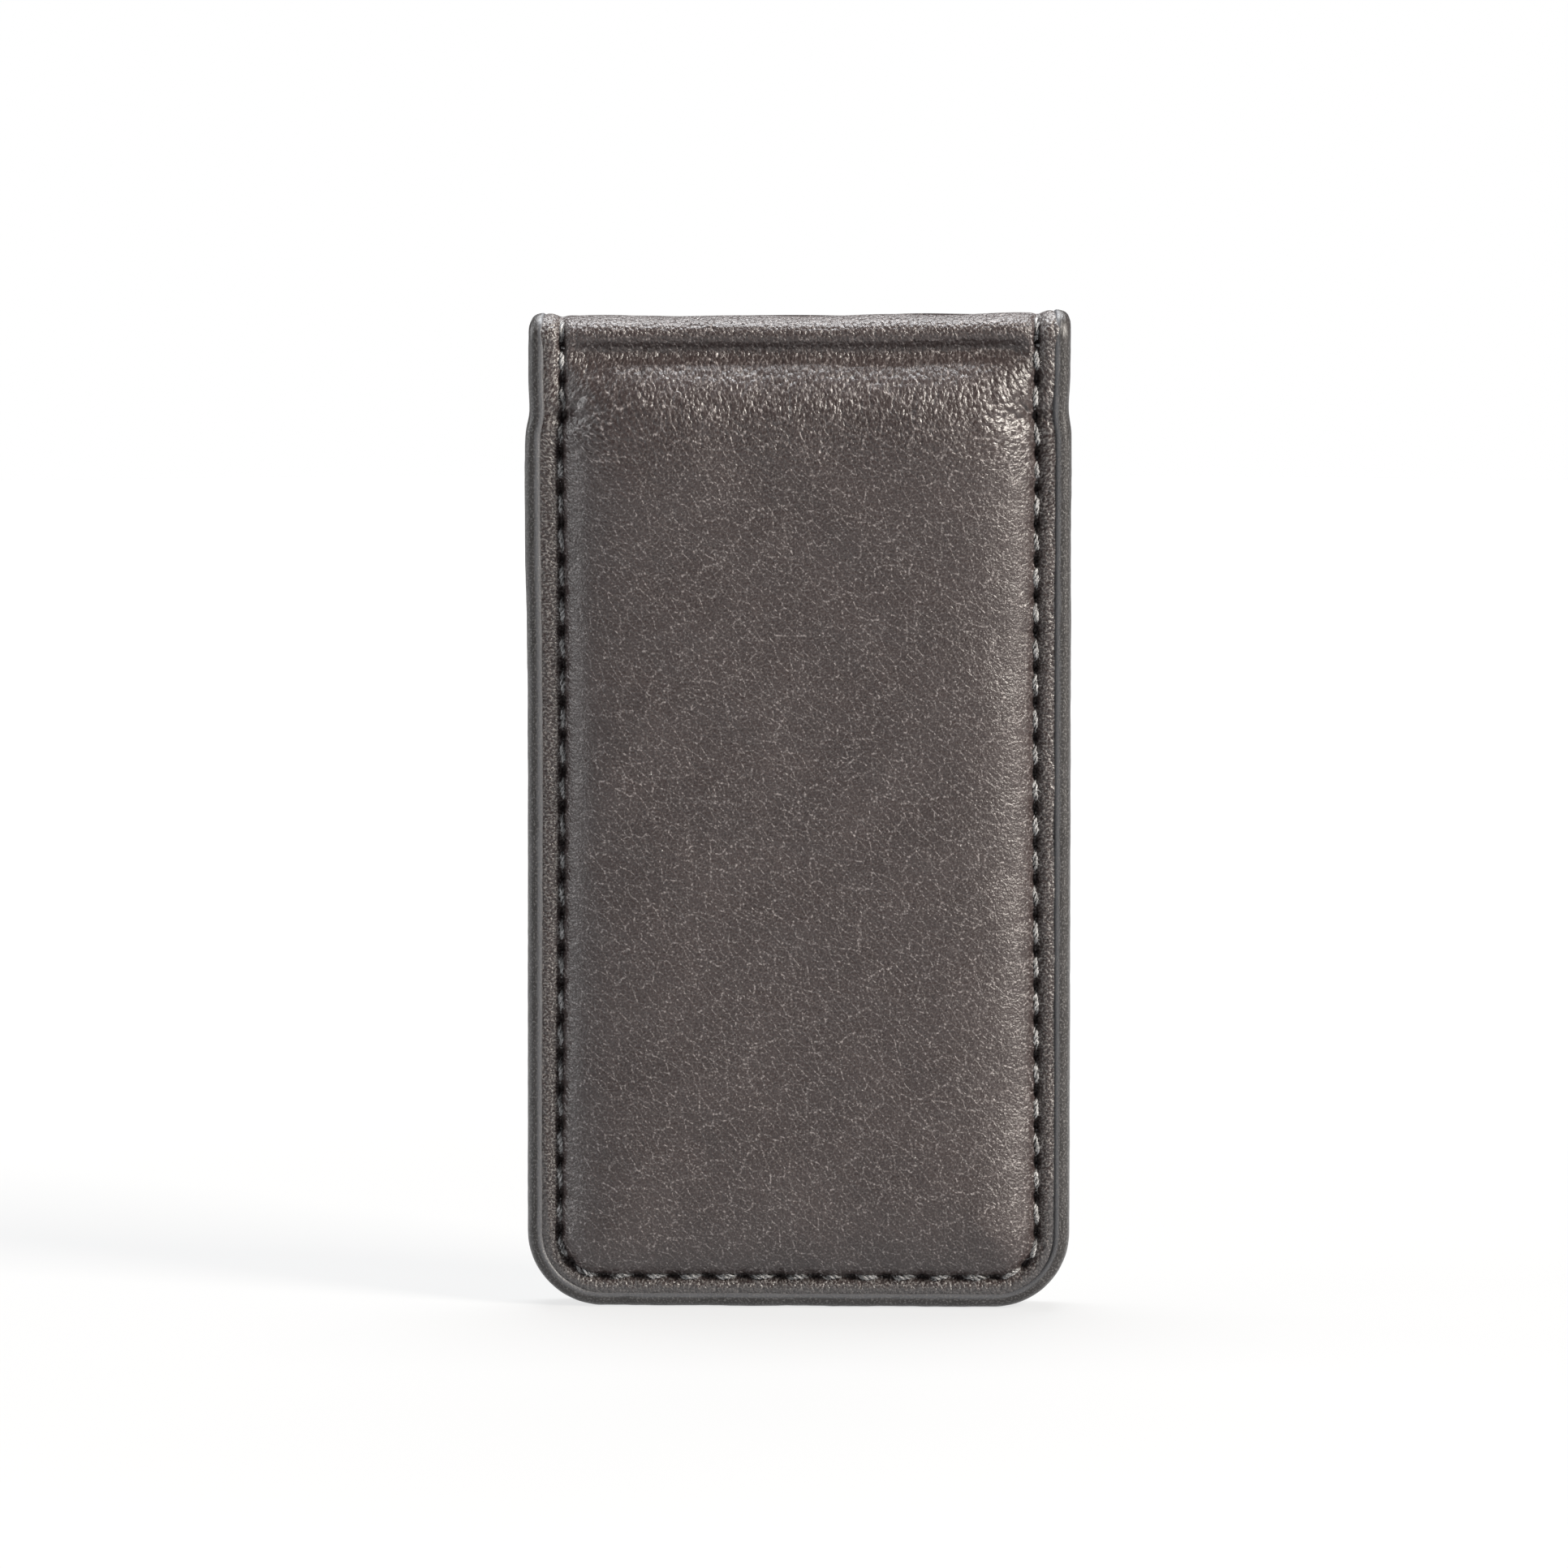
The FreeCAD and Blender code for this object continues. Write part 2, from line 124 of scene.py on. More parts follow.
# levels of the hollow below the fold and of the creases that fan out from the seams
VALLEY_LEVEL = 67.4
PULL_LEVEL = 62.9
# how far from the middle the rounding of the upper corners begins
CORNER_START = 17.3


# ---- shape helpers
def place(x, level, height, side):
    """Strip coordinates in millimetres to points of the frame in metres."""
    x, level, height = np.broadcast_arrays(*(np.asarray(v, float) for v in (x, level, height)))
    along = CREST - level
    angle = np.clip(along / BEND_RADIUS, 0, math.pi / 2)
    radius = BEND_RADIUS + height
    straight = np.maximum(along - BEND_LENGTH, 0)
    y = side * radius * np.sin(angle)
    z = FOLD_HEIGHT + radius * np.cos(angle) - straight + fold_tilt(x, level)
    return np.stack([x - waist(x, level) - bow(x, level) - corner(x, angle), y, z], -1) * MM


def corner(x, angle):
    """How far the strip's sides are drawn in where its upper corners are rounded."""
    drop = (BEND_RADIUS + COAT_FACE) * (1 - np.cos(angle))
    left_over = np.clip(FOLD_CORNER - drop, 0, FOLD_CORNER)
    inset = FOLD_CORNER - np.sqrt(FOLD_CORNER**2 - left_over**2)
    return np.sign(x) * inset * smooth((np.abs(x) - CORNER_START) / (HALF_WIDTH - CORNER_START))


def fold_tilt(x, level):
    """The hand-turned fold stands a little higher on the right, and dips between the seams."""
    near_fold = smooth((level - 62) / 7)
    return near_fold * (0.30 + 0.009 * x - 0.15 * (1 - (x / HALF_WIDTH) ** 2))


def waist(x, level):
    """How far the sides are drawn in below the fold, most where the padding pulls at the seam."""
    near_edge = smooth((np.abs(x) - 13) / 5)
    dip = bump((level - PULL_LEVEL - 0.5) / 1.2)
    upper = smooth((level - PULL_LEVEL + 1.6) / 1.8)
    drawn = np.where(x > 0, 0.12 * dip + 0.08 * upper, 0.07 * dip + 0.20 * upper)
    return np.sign(x) * near_edge * drawn


def bow(x, level):
    """How far the hand-sewn sides wander inward at mid height, the seam more than the edge."""
    at_seam = smooth((np.abs(x) - 14.4) / 2.2)
    at_edge = smooth((np.abs(x) - 17) / 1.6)
    middle = bump((level - 42) / 24)
    left = middle * (0.30 * at_seam - 0.22 * at_edge) - 0.15 * at_edge * bump((level - 56) / 8)
    right = middle * 0.18 * (at_seam - at_edge)
    return np.where(x > 0, right, -left)


def smooth(t):
    t = np.clip(t, 0, 1)
    return t * t * (3 - 2 * t)


def swell(distance, size, power):
    """Rises from 0 to about 0.63 at size, and levels off at 1."""
    return 1 - np.exp(-((np.maximum(distance, 0) / size) ** power))


def bump(t):
    return np.exp(-(t**2))


def waves(x, level, size, seed, count=28):
    """Smooth noise of about unit height, a sum of random ripples about size millimetres long."""
    rng = np.random.default_rng(seed)
    total = np.zeros(np.broadcast(x, level).shape)
    for _ in range(count):
        turn = rng.uniform(0, 2 * math.pi)
        pace = 2 * math.pi / (size * rng.uniform(0.7, 1.6))
        phase = rng.uniform(0, 2 * math.pi)
        total += np.cos(pace * (math.cos(turn) * x + math.sin(turn) * level) + phase)
    return total * math.sqrt(2 / count)


def seam_distance(x, level):
    """How far a point lies inside the seam line, and negative outside it."""
    across = np.abs(x) - (SEAM_HALF - SEAM_CORNER)
    below = SEAM_LOW + SEAM_CORNER - level
    from_corner = np.hypot(np.maximum(across, 0), np.maximum(below, 0))
    return SEAM_CORNER - from_corner - np.minimum(np.maximum(across, below), 0)


def seam_point(along):
    """A point of the seam and its direction, from the fold's edge down the right side and up the left."""
    run = FOLD_HEIGHT - SEAM_LOW - SEAM_CORNER
    arc = math.pi / 2 * SEAM_CORNER
    half = run + arc + SEAM_HALF - SEAM_CORNER
    mirrored = along > half
    travelled = 2 * half - along if mirrored else along
    if travelled < run:
        x, level, turn = SEAM_HALF, FOLD_HEIGHT - travelled, 0.0
    elif travelled < run + arc:
        turn = (travelled - run) / SEAM_CORNER
        x = SEAM_HALF - SEAM_CORNER + SEAM_CORNER * math.cos(turn)
        level = SEAM_LOW + SEAM_CORNER - SEAM_CORNER * math.sin(turn)
    else:
        x, level, turn = half - travelled, SEAM_LOW, math.pi / 2
    way_x, way_level = -math.sin(turn), -math.cos(turn)
    if mirrored:
        return -x, level, way_x, -way_level
    return x, level, way_x, way_level


def seam_length():
    return 2 * (FOLD_HEIGHT - SEAM_LOW - SEAM_CORNER + math.pi / 2 * SEAM_CORNER + SEAM_HALF - SEAM_CORNER)


def stitch_count():
    return round(seam_length() / STITCH_PITCH)


def needle_holes():
    """Where the needle went through, between the stitches: place and direction of the seam (x, level)."""
    pitch = seam_length() / stitch_count()
    return [seam_point(number * pitch) for number in range(stitch_count() + 1)]


def needle_pits(x, level, depth, length, width):
    """The pits that the thread pulls round the needle holes, long in the seam's direction."""
    total = np.zeros_like(x)
    for hole_x, hole_level, way_x, way_level in needle_holes():
        near = (np.abs(x - hole_x) < 2) & (np.abs(level - hole_level) < 2)
        off_x, off_level = x[near] - hole_x, level[near] - hole_level
        along = off_x * way_x + off_level * way_level
        across = off_x * way_level - off_level * way_x
        total[near] += depth * bump(along / length) * bump(across / width)
    return total


# ---- the face leather's relief
def panel_rise(x, level):
    """Height of the padded panel above the margin."""
    sides = swell(seam_distance(x, level), SHOULDER, 1.0)
    top = swell(PANEL_TOP - level, TOP_SHOULDER, 1.4)
    crown = 1 + 0.03 * (1 - (x / SEAM_HALF) ** 2)
    return (PANEL_FACE - COVER_FACE) * sides * top * crown


def crease(x, level, start, end, curve, width):
    """1 on a curved line from start to end, fading to 0 beside it and at its far end."""
    run = np.subtract(end, start)
    length = math.hypot(*run)
    way = run / length
    t = ((x - start[0]) * way[0] + (level - start[1]) * way[1]) / length
    off = -(x - start[0]) * way[1] + (level - start[1]) * way[0] - curve * 4 * t * (1 - t)
    fade = smooth((t + 0.15) / 0.25) * (1 - smooth(t))
    return fade * bump(off / (width * (0.6 + t)))


def pull_creases(x, level, seed):
    """The dark creases that fan out from the seams a little below the fold, each by its reach and rise."""
    inward = ((3.0, 2.6), (4.2, 1.3), (4.8, 0.6), (4.4, -0.3), (2.6, -1.3), (1.6, 2.2))
    outward_rises = (1.1, 0.5, 0.0, -0.6)
    margin_reach = 1.6
    total = np.zeros_like(x)
    rng = np.random.default_rng(seed)
    for hand in (-1, 1):
        start = (hand * (SEAM_HALF - 0.1), PULL_LEVEL)
        for reach, rise in inward:
            end = (hand * (SEAM_HALF - reach * rng.uniform(0.8, 1.1)), PULL_LEVEL + rise)
            total += rng.uniform(0.6, 1.1) * crease(x, level, start, end, hand * 0.3, 0.15)
        for rise in outward_rises:
            end = (hand * (SEAM_HALF + margin_reach), PULL_LEVEL + rise)
            total += 0.7 * crease(x, level, start, end, 0.1, 0.16)
    return np.tanh(total)


def pucker_creases(x, level, seed):
    """Small creases running in from the needle holes."""
    total = np.zeros_like(x)
    rng = np.random.default_rng(seed)
    for hole_x, hole_level, _, _ in needle_holes():
        inward = np.array([-np.sign(hole_x) if hole_level > SEAM_LOW + 1 else 0.0, 0.0])
        if hole_level < SEAM_LOW + SEAM_CORNER:
            inward = inward + np.array([0.0, 1.0])
        for _ in range(2):
            turn = rng.uniform(-0.7, 0.7)
            reach = rng.uniform(0.9, 2.6)
            way = np.array([
                inward[0] * math.cos(turn) - inward[1] * math.sin(turn),
                inward[0] * math.sin(turn) + inward[1] * math.cos(turn),
            ])
            start = (hole_x, hole_level)
            end = (hole_x + way[0] * reach, hole_level + way[1] * reach)
            near = (np.abs(x - hole_x) < 4) & (np.abs(level - hole_level) < 4)
            size = rng.uniform(0.3, 1.0)
            total[near] += size * crease(x[near], level[near], start, end, 0.1, 0.16)
    return total


def crest_sink(level):
    """How much deeper the thread and its groove lie where they go over the fold."""
    return 0.20 * smooth((level - 66.3) / 1.5)


def seam_relief(x, level, inside):
    """The groove with its needle pits, a soft lip beside it, and the edge that sinks under the paint."""
    from_crest = smooth((CREST - level) / 0.7)
    groove = (0.20 + 0.5 * crest_sink(level)) * (0.35 + 0.65 * from_crest) * bump(inside / 0.32)
    pits = needle_pits(x, level, 0.85, 0.46, 0.18)
    lip = 0.13 * bump((inside + 0.85) / 0.42)
    under_paint = 0.55 * smooth((0.82 - SEAM_INSET - inside) / 0.55) ** 2
    return lip - groove - pits - under_paint


def fold_relief(x, level, inside, seed):
    """The bead along the fold, the hollow below it, and the two full places of the panel's shoulder."""
    from_crest = smooth((CREST - level) / 0.7)
    between_seams = smooth((inside - 0.2) / 1.6)
    bead = 0.46 * bump((CREST - level - 1.04) / 0.48) * (0.3 + 0.7 * between_seams) * from_crest
    uneven = 1 + 0.35 * waves(x, level, 9.0, seed + 5)
    valley = 0.36 * bump((level - VALLEY_LEVEL) / 0.82) * between_seams * uneven
    full = 0.22 * bump((np.abs(x) - 9) / 5) * bump((level - 60) / 4.5) * smooth(inside / 3)
    return bead - valley + full


def worn_relief(x, level, inside, seed):
    """Creases at the seams, and the slight unevenness of a hand-stretched hide."""
    on_panel = smooth(inside / 1.5)
    below_fold = smooth((CREST - 1.5 - level) / 2)
    from_crest = smooth((CREST - level) / 0.7)
    at_shoulder = bump((level - 64.5) / 2.6)
    creases = 0.34 * pull_creases(x, level, seed) + 0.11 * pucker_creases(x, level, seed + 1)
    swells = 0.035 * waves(x, level, 7.0, seed + 2)
    ripples = 0.010 * waves(x, level, 2.2, seed + 3)
    wrinkles = 0.022 * waves(x, level * 0.35, 0.9, seed + 4)
    return (swells + wrinkles * at_shoulder) * on_panel + ripples * from_crest - creases * below_fold


def cover_height(x, level, seed):
    """Height of the face leather's outer side."""
    inside = seam_distance(x, level)
    height = COVER_FACE + panel_rise(x, level) + seam_relief(x, level, inside)
    height += fold_relief(x, level, inside, seed) + worn_relief(x, level, inside, seed)
    return np.maximum(height, LINING_FACE / 2)


def cover_back(x, level):
    """Height of the face leather's inner side, which lies on the padding."""
    inner = panel_rise(x, level) + COVER_FACE - LEATHER
    return np.maximum(inner - 0.02, 0)


def lining_height(x, level, seed):
    """Height of the lining's face, which is below the joint, so negative."""
    inside = seam_distance(x, level)
    height = np.full_like(x, LINING_FACE)
    height += 0.22 * bump(inside / 0.4)
    height += needle_pits(x, level, 0.3, 0.3, 0.2)
    height += 0.03 * pucker_creases(x, level, seed)
    flap = smooth((FOLD_HEIGHT - level) / 3)
    height += flap * 0.012 * (1 + waves(x, level, 6.0, seed + 1))
    for hand in (-1, 1):
        reach = np.hypot(x - hand * MAGNET_SPREAD, level - MAGNET_HEIGHT)
        height += 0.02 * bump((reach - MAGNET_RADIUS) / 0.5)
    return height


# ---- mesh helpers
# a shell's back has every third row and column of its face
COARSE = 3


def make_object(name, points, faces, **layers):
    """A smooth-shaded mesh from points in metres. Each layer holds a vector of three numbers per point."""
    mesh = bpy.data.meshes.new(name)
    mesh.from_pydata(points.tolist(), [], faces)
    mesh.validate()
    mesh.shade_smooth()
    for layer_name, values in layers.items():
        layer = mesh.attributes.new(layer_name, "FLOAT_VECTOR", "POINT")
        layer.data.foreach_set("vector", values.astype(np.float32).ravel())
    piece = bpy.data.objects.new(name, mesh)
    bpy.context.scene.collection.objects.link(piece)
    return piece


def grid_faces(rows, columns, start=0, flip=False):
    """Quads over a grid of points, as lists of point numbers."""
    number = start + np.arange(rows * columns).reshape(rows, columns)
    corners = [number[:-1, :-1], number[:-1, 1:], number[1:, 1:], number[1:, :-1]]
    if flip:
        corners.reverse()
    return np.stack(corners, -1).reshape(-1, 4).tolist()


def rim(rows, columns):
    """Row and column of the points round a grid's edge, in order."""
    right = [(row, columns - 1) for row in range(rows)]
    left = [(row, 0) for row in range(rows - 1, -1, -1)]
    first = [(0, column) for column in range(columns - 1)]
    last = [(rows - 1, column) for column in range(columns - 2, 0, -1)]
    return first + right + last + left[:-1]


def shell(name, side, x, level, face, back, outward):
    """A closed skin: its face is a fine grid, its back a coarser one, and small walls join their rims."""
    rows, columns = x.shape
    few = (slice(None, None, COARSE), slice(None, None, COARSE))
    back_x, back_level = x[few], level[few]
    back_rows, back_columns = back_x.shape
    points = np.concatenate([
        place(x, level, face, side).reshape(-1, 3),
        place(back_x, back_level, back(back_x, back_level), side).reshape(-1, 3),
    ])
    flip = side * outward < 0
    count = rows * columns
    faces = grid_faces(rows, columns, flip=flip)
    faces += grid_faces(back_rows, back_columns, start=count, flip=not flip)
    fine = [row * columns + column for row, column in rim(rows, columns)]
    coarse = [count + row * back_columns + column for row, column in rim(back_rows, back_columns)]
    for number, low_point in enumerate(coarse):
        next_low = coarse[(number + 1) % len(coarse)]
        edge = [fine[(number * COARSE + step) % len(fine)] for step in range(COARSE + 1)]
        wall = [low_point, next_low] + edge[::-1]
        faces.append(wall[::-1] if flip else wall)
    all_x = np.concatenate([x.ravel(), back_x.ravel()])
    all_level = np.concatenate([level.ravel(), back_level.ravel()])
    strip = np.column_stack([all_x, all_level, seam_distance(all_x, all_level)])
    piece = make_object(name, points, faces, grain=grain_place(all_x, all_level, side), strip=strip)
    sharpen_rim(piece, fine, coarse)
    return piece


def sharpen_rim(piece, fine, coarse):
    """Keeps the smooth shading of the face from turning over the rim."""
    ring = set(fine) | set(coarse)
    sharp = np.zeros(len(piece.data.edges), bool)
    for number, edge in enumerate(piece.data.edges):
        first, second = edge.vertices
        if first in ring and second in ring:
            sharp[number] = True
    layer = piece.data.attributes.new("sharp_edge", "BOOLEAN", "EDGE")
    layer.data.foreach_set("value", sharp)


def grain_place(x, level, side):
    """Place on the flat hide. The grain is stretched along the shoulder below the fold and at its seams."""
    shoulder_level, shoulder_reach = 64.2, 3.2
    seam_start, seam_reach = 14.6, 2.2
    along = level - 0.42 * shoulder_reach * np.tanh((level - shoulder_level) / shoulder_reach)
    along = along + COVER_FACE / BEND_RADIUS * np.maximum(level - FOLD_HEIGHT, 0)
    pulled = bump((level - PULL_LEVEL + 0.4) / 3.5)
    across = np.abs(x) - 0.5 * pulled * seam_reach * (1 + np.tanh((np.abs(x) - seam_start) / seam_reach))
    crest = CREST + COVER_FACE / BEND_RADIUS * BEND_LENGTH
    return np.column_stack([np.sign(x) * across, side * (crest - along), np.zeros_like(x)])


def row_half(level):
    """Half width of the leather at a level, inside its rounded lower corners."""
    centre = LEATHER_LOW + LEATHER_CORNER
    drop = np.clip(centre - level, 0, LEATHER_CORNER)
    return LEATHER_HALF - LEATHER_CORNER + np.sqrt(LEATHER_CORNER**2 - drop**2)


def strip_levels(fold_rows, step, corner_rows):
    """Levels of the grid's rows, from crest to open end, closer together at both."""
    centre = LEATHER_LOW + LEATHER_CORNER
    fold = np.linspace(CREST, FOLD_HEIGHT, fold_rows, endpoint=False)
    straight_rows = round((FOLD_HEIGHT - centre) / step)
    straight_rows += (-fold_rows - straight_rows - corner_rows + 1) % COARSE
    straight = np.linspace(FOLD_HEIGHT, centre, straight_rows, endpoint=False)
    turn = np.linspace(0, math.pi / 2, corner_rows)
    return np.concatenate([fold, straight, centre - LEATHER_CORNER * np.sin(turn)])


def strip_columns(centre_step, seam_step):
    """Places of the grid's columns from -1 to 1, closer together at the seams."""
    seam_zone = 3.7
    zone = 1 - seam_zone / LEATHER_HALF
    seam_count = round(seam_zone / seam_step)
    centre_count = round(2 * zone * LEATHER_HALF / centre_step)
    centre_count += (-2 * seam_count - centre_count) % COARSE
    left = np.linspace(-1, -zone, seam_count, endpoint=False)
    centre = np.linspace(-zone, zone, centre_count, endpoint=False)
    right = np.linspace(zone, 1, seam_count + 1)
    return np.concatenate([left, centre, right])


def strip_grid(columns, levels):
    level = np.repeat(levels[:, None], len(columns), 1)
    return columns[None, :] * row_half(level), level


# ---- pieces
def make_cover(side, seed):
    name = f"{SIDE_NAMES[side]}_face_leather"
    x, level = strip_grid(strip_columns(0.3, 0.12), strip_levels(24, 0.19, 49))
    return shell(name, side, x, level, cover_height(x, level, seed), cover_back, 1)


def make_lining(side, seed):
    name = f"{SIDE_NAMES[side]}_lining_leather"
    x, level = strip_grid(strip_columns(0.6, 0.2), strip_levels(18, 0.4, 31))

    def back(back_x, back_level):
        return np.zeros_like(back_x)

    return shell(name, side, x, level, lining_height(x, level, seed), back, -1)


def edge_stations(step):
    """Points of the leather's edge as (x, level, outward x, outward level), from crest to crest."""
    centre_x, centre_level = LEATHER_HALF - LEATHER_CORNER, LEATHER_LOW + LEATHER_CORNER
    count = round((FOLD_HEIGHT - centre_level) / step)
    fold = np.linspace(CREST, FOLD_HEIGHT, 14, endpoint=False)
    straight = np.linspace(FOLD_HEIGHT, centre_level, count, endpoint=False)
    stations = [(LEATHER_HALF, level, 1.0, 0.0) for level in (*fold, *straight)]
    for turn in np.linspace(0, math.pi / 2, 30, endpoint=False):
        out_x, out_level = math.cos(turn), -math.sin(turn)
        x = centre_x + LEATHER_CORNER * out_x
        level = centre_level + LEATHER_CORNER * out_level
        stations.append((x, level, out_x, out_level))
    count = round(centre_x / step)
    stations += [(x, LEATHER_LOW, 0.0, -1.0) for x in np.linspace(centre_x, 0, count, endpoint=False)]
    stations.append((0.0, LEATHER_LOW, 0.0, -1.0))
    mirrored = [(-x, level, -out_x, out_level) for x, level, out_x, out_level in stations[-2::-1]]
    return np.array(stations + mirrored)


def coat_section():
    """The edge paint's section as (distance outward from the leather's edge, height), once round."""
    out = HALF_WIDTH - LEATHER_HALF
    crown = COAT_FACE - 0.03
    bottom = LINING_FACE
    return np.array([
        (-0.70, crown - 0.32),
        (-0.62, crown - 0.14),
        (-0.53, crown - 0.04),
        (-0.42, crown),
        (-0.28, crown - 0.01),
        (-0.12, crown - 0.04),
        (0.04, crown - 0.09),
        (0.17, crown - 0.17),
        (0.27, crown - 0.28),
        (0.35, crown - 0.46),
        (0.41, crown - 0.70),
        (0.44, crown - 0.96),
        (out, bottom + 0.70),
        (out - 0.02, bottom + 0.50),
        (out - 0.09, bottom + 0.27),
        (out - 0.21, bottom + 0.10),
        (out - 0.37, bottom + 0.02),
        (-0.10, bottom),
        (-0.30, bottom + 0.02),
        (-0.34, bottom + 0.12),
        (-0.02, bottom + 0.16),
        (-0.02, 0.34),
        (-0.40, 0.36),
    ])


def make_edge_coat(side, seed):
    """The painted edge: a rounded bead that laps a little over both leathers."""
    stations = edge_stations(0.3)
    section = coat_section()
    along = np.concatenate([[0], np.cumsum(np.hypot(*np.diff(stations[:, :2], axis=0).T))])
    offset, height = section[:, 0], section[:, 1]
    x = stations[:, 0, None] + stations[:, 2, None] * offset
    level = stations[:, 1, None] + stations[:, 3, None] * offset
    height = np.repeat(height[None, :], len(stations), 0)
    flow = 0.014 * waves(along[:, None], height * 1.5, 6.0, seed)
    flow += 0.008 * waves(along[:, None], height * 2, 1.3, seed + 1)
    outside = smooth((offset + 0.5) / 0.6)[None, :] * (height > LINING_FACE + 0.2)
    height = height + flow * (height > 0.6)
    push = flow * outside * 0.6
    x = x + stations[:, 2, None] * push
    level = np.maximum(level + stations[:, 3, None] * push, 0.0)
    rows, columns = x.shape
    points = place(x, level, height, side).reshape(-1, 3)
    number = np.arange(rows * columns).reshape(rows, columns)
    following = np.roll(number, -1, 1)
    quads = np.stack([number[:-1], number[1:], following[1:], following[:-1]], -1).reshape(-1, 4)
    faces = quads.tolist() + [number[0].tolist(), number[-1][::-1].tolist()]
    if side == BACK:
        faces = [face[::-1] for face in faces]
    run = np.repeat(along, columns)
    grain = np.column_stack([run, np.tile(np.arange(columns) * 0.2, rows), np.zeros_like(run)])
    in_section = np.column_stack([np.tile(offset, rows), height.ravel(), run])
    name = f"{SIDE_NAMES[side]}_painted_edge"
    return make_object(name, points, faces, grain=grain, section=in_section)


# ---- thread
THREAD_STRANDS = 3
STRAND_SIDES = 8
FILAMENTS = 8
FILAMENT_POINTS = 7


def tube(centre, radius, sides):
    """Rings of points round a path of (along, across, height) points."""
    way = np.gradient(centre, axis=0)
    way /= np.linalg.norm(way, axis=1)[:, None]
    first = np.cross(way, (0.0, 1.0, 0.0))
    first /= np.linalg.norm(first, axis=1)[:, None]
    second = np.cross(way, first)
    turn = np.linspace(0, 2 * math.pi, sides, endpoint=False)[None, :, None]
    spoke = np.cos(turn) * first[:, None, :] + np.sin(turn) * second[:, None, :]
    return centre[:, None, :] + spoke * radius


def tube_faces(rings, sides, start, flip):
    number = start + np.arange(rings * sides).reshape(rings, sides)
    following = np.roll(number, -1, 1)
    quads = np.stack([number[:-1], following[:-1], following[1:], number[1:]], -1).reshape(-1, 4)
    faces = quads.tolist() + [number[0][::-1].tolist(), number[-1].tolist()]
    return [face[::-1] for face in faces] if flip else faces


def strand_path(rng, turn, half_length, thickness, dive):
    """One strand of a stitch, wound with the others, from deep in one needle hole to deep in the next."""
    reach = np.linspace(-1, 1, 26)
    along = reach * half_length
    sag = -dive * np.abs(reach) ** 3.2
    wind = turn + rng.normal(6.0, 0.8) * along
    spread_out = thickness * 0.25 * (1 + 0.35 * np.sin(5.1 * along + turn))
    return np.column_stack([along, spread_out * np.cos(wind), sag + spread_out * np.sin(wind)])


def fuzz_path(rng, half_length, thickness):
    """A loose filament that lifts off the thread and ends in the air."""
    root = rng.uniform(-0.6, 0.6) * half_length
    length = rng.uniform(0.25, 0.6)
    turn = rng.uniform(0, 2 * math.pi)
    reach = np.linspace(0, 1, FILAMENT_POINTS)
    along = root + reach * length * math.cos(turn)
    across = rng.uniform(-0.3, 0.3) * thickness + reach * length * math.sin(turn)
    height = thickness * 0.38 + 0.10 * np.sin(reach * rng.uniform(1.5, 3.0)) - 0.12 * reach**2
    return np.column_stack([along, across, height])


def stitch_places():
    """Each stitch as (x, level, direction x, direction level, half length)."""
    pitch = seam_length() / stitch_count()
    half_length = pitch / 2 - 0.36
    places = [(*seam_point((number + 0.5) * pitch), half_length) for number in range(stitch_count())]
    for hand in (-1, 1):
        places.append((hand * SEAM_HALF, CREST - BEND_LENGTH / 2, 0.0, 1.0, BEND_LENGTH / 2 - 0.08))
    return places


def stitch_tubes(rng, half_length, thickness):
    """One stitch: twisted strands and some loose filaments, each as rings of points."""
    start_turn = rng.uniform(0, 2 * math.pi)
    tubes = []
    for strand in range(THREAD_STRANDS):
        turn = start_turn + strand * 2 * math.pi / THREAD_STRANDS
        path = strand_path(rng, turn, half_length, thickness, 0.9)
        tubes.append(tube(path, thickness * 0.24 * rng.uniform(0.8, 1.15), STRAND_SIDES))
    for _ in range(FILAMENTS):
        tubes.append(tube(fuzz_path(rng, half_length, thickness), 0.010, 3))
    return tubes


def make_thread(side, name, centre_height, thickness, outward, seed, extra=()):
    """All stitches on one face of one half of the strip, each a little askew."""
    rng = np.random.default_rng(seed)
    points, faces, grain = [], [], []
    flip = side * outward < 0
    count = 0
    for x, level, way_x, way_level, half_length in stitch_places() + list(extra):
        lean = outward * rng.normal(0.14, 0.06)
        way_x, way_level = (
            way_x * math.cos(lean) - way_level * math.sin(lean),
            way_x * math.sin(lean) + way_level * math.cos(lean),
        )
        scale = thickness * rng.uniform(0.92, 1.08)
        lift = rng.normal(0, 0.025)
        for number, rings in enumerate(stitch_tubes(rng, half_length, scale)):
            along, across, height = rings[..., 0], rings[..., 1], rings[..., 2] + lift
            strip_x = x + way_x * along - way_level * across
            strip_level = level + way_level * along + way_x * across
            strip_height = centre_height + outward * (height - crest_sink(strip_level))
            points.append(place(strip_x, strip_level, strip_height, side).reshape(-1, 3))
            faces += tube_faces(rings.shape[0], rings.shape[1], count, flip)
            ring_place = np.broadcast_to(np.arange(rings.shape[1]) * 0.1, along.shape)
            lane = np.full(along.size, rng.uniform(0, 40) + number)
            grain.append(np.column_stack([along.ravel(), ring_place.ravel(), lane]))
            count += along.size
    return make_object(name, np.concatenate(points), faces, grain=np.concatenate(grain))


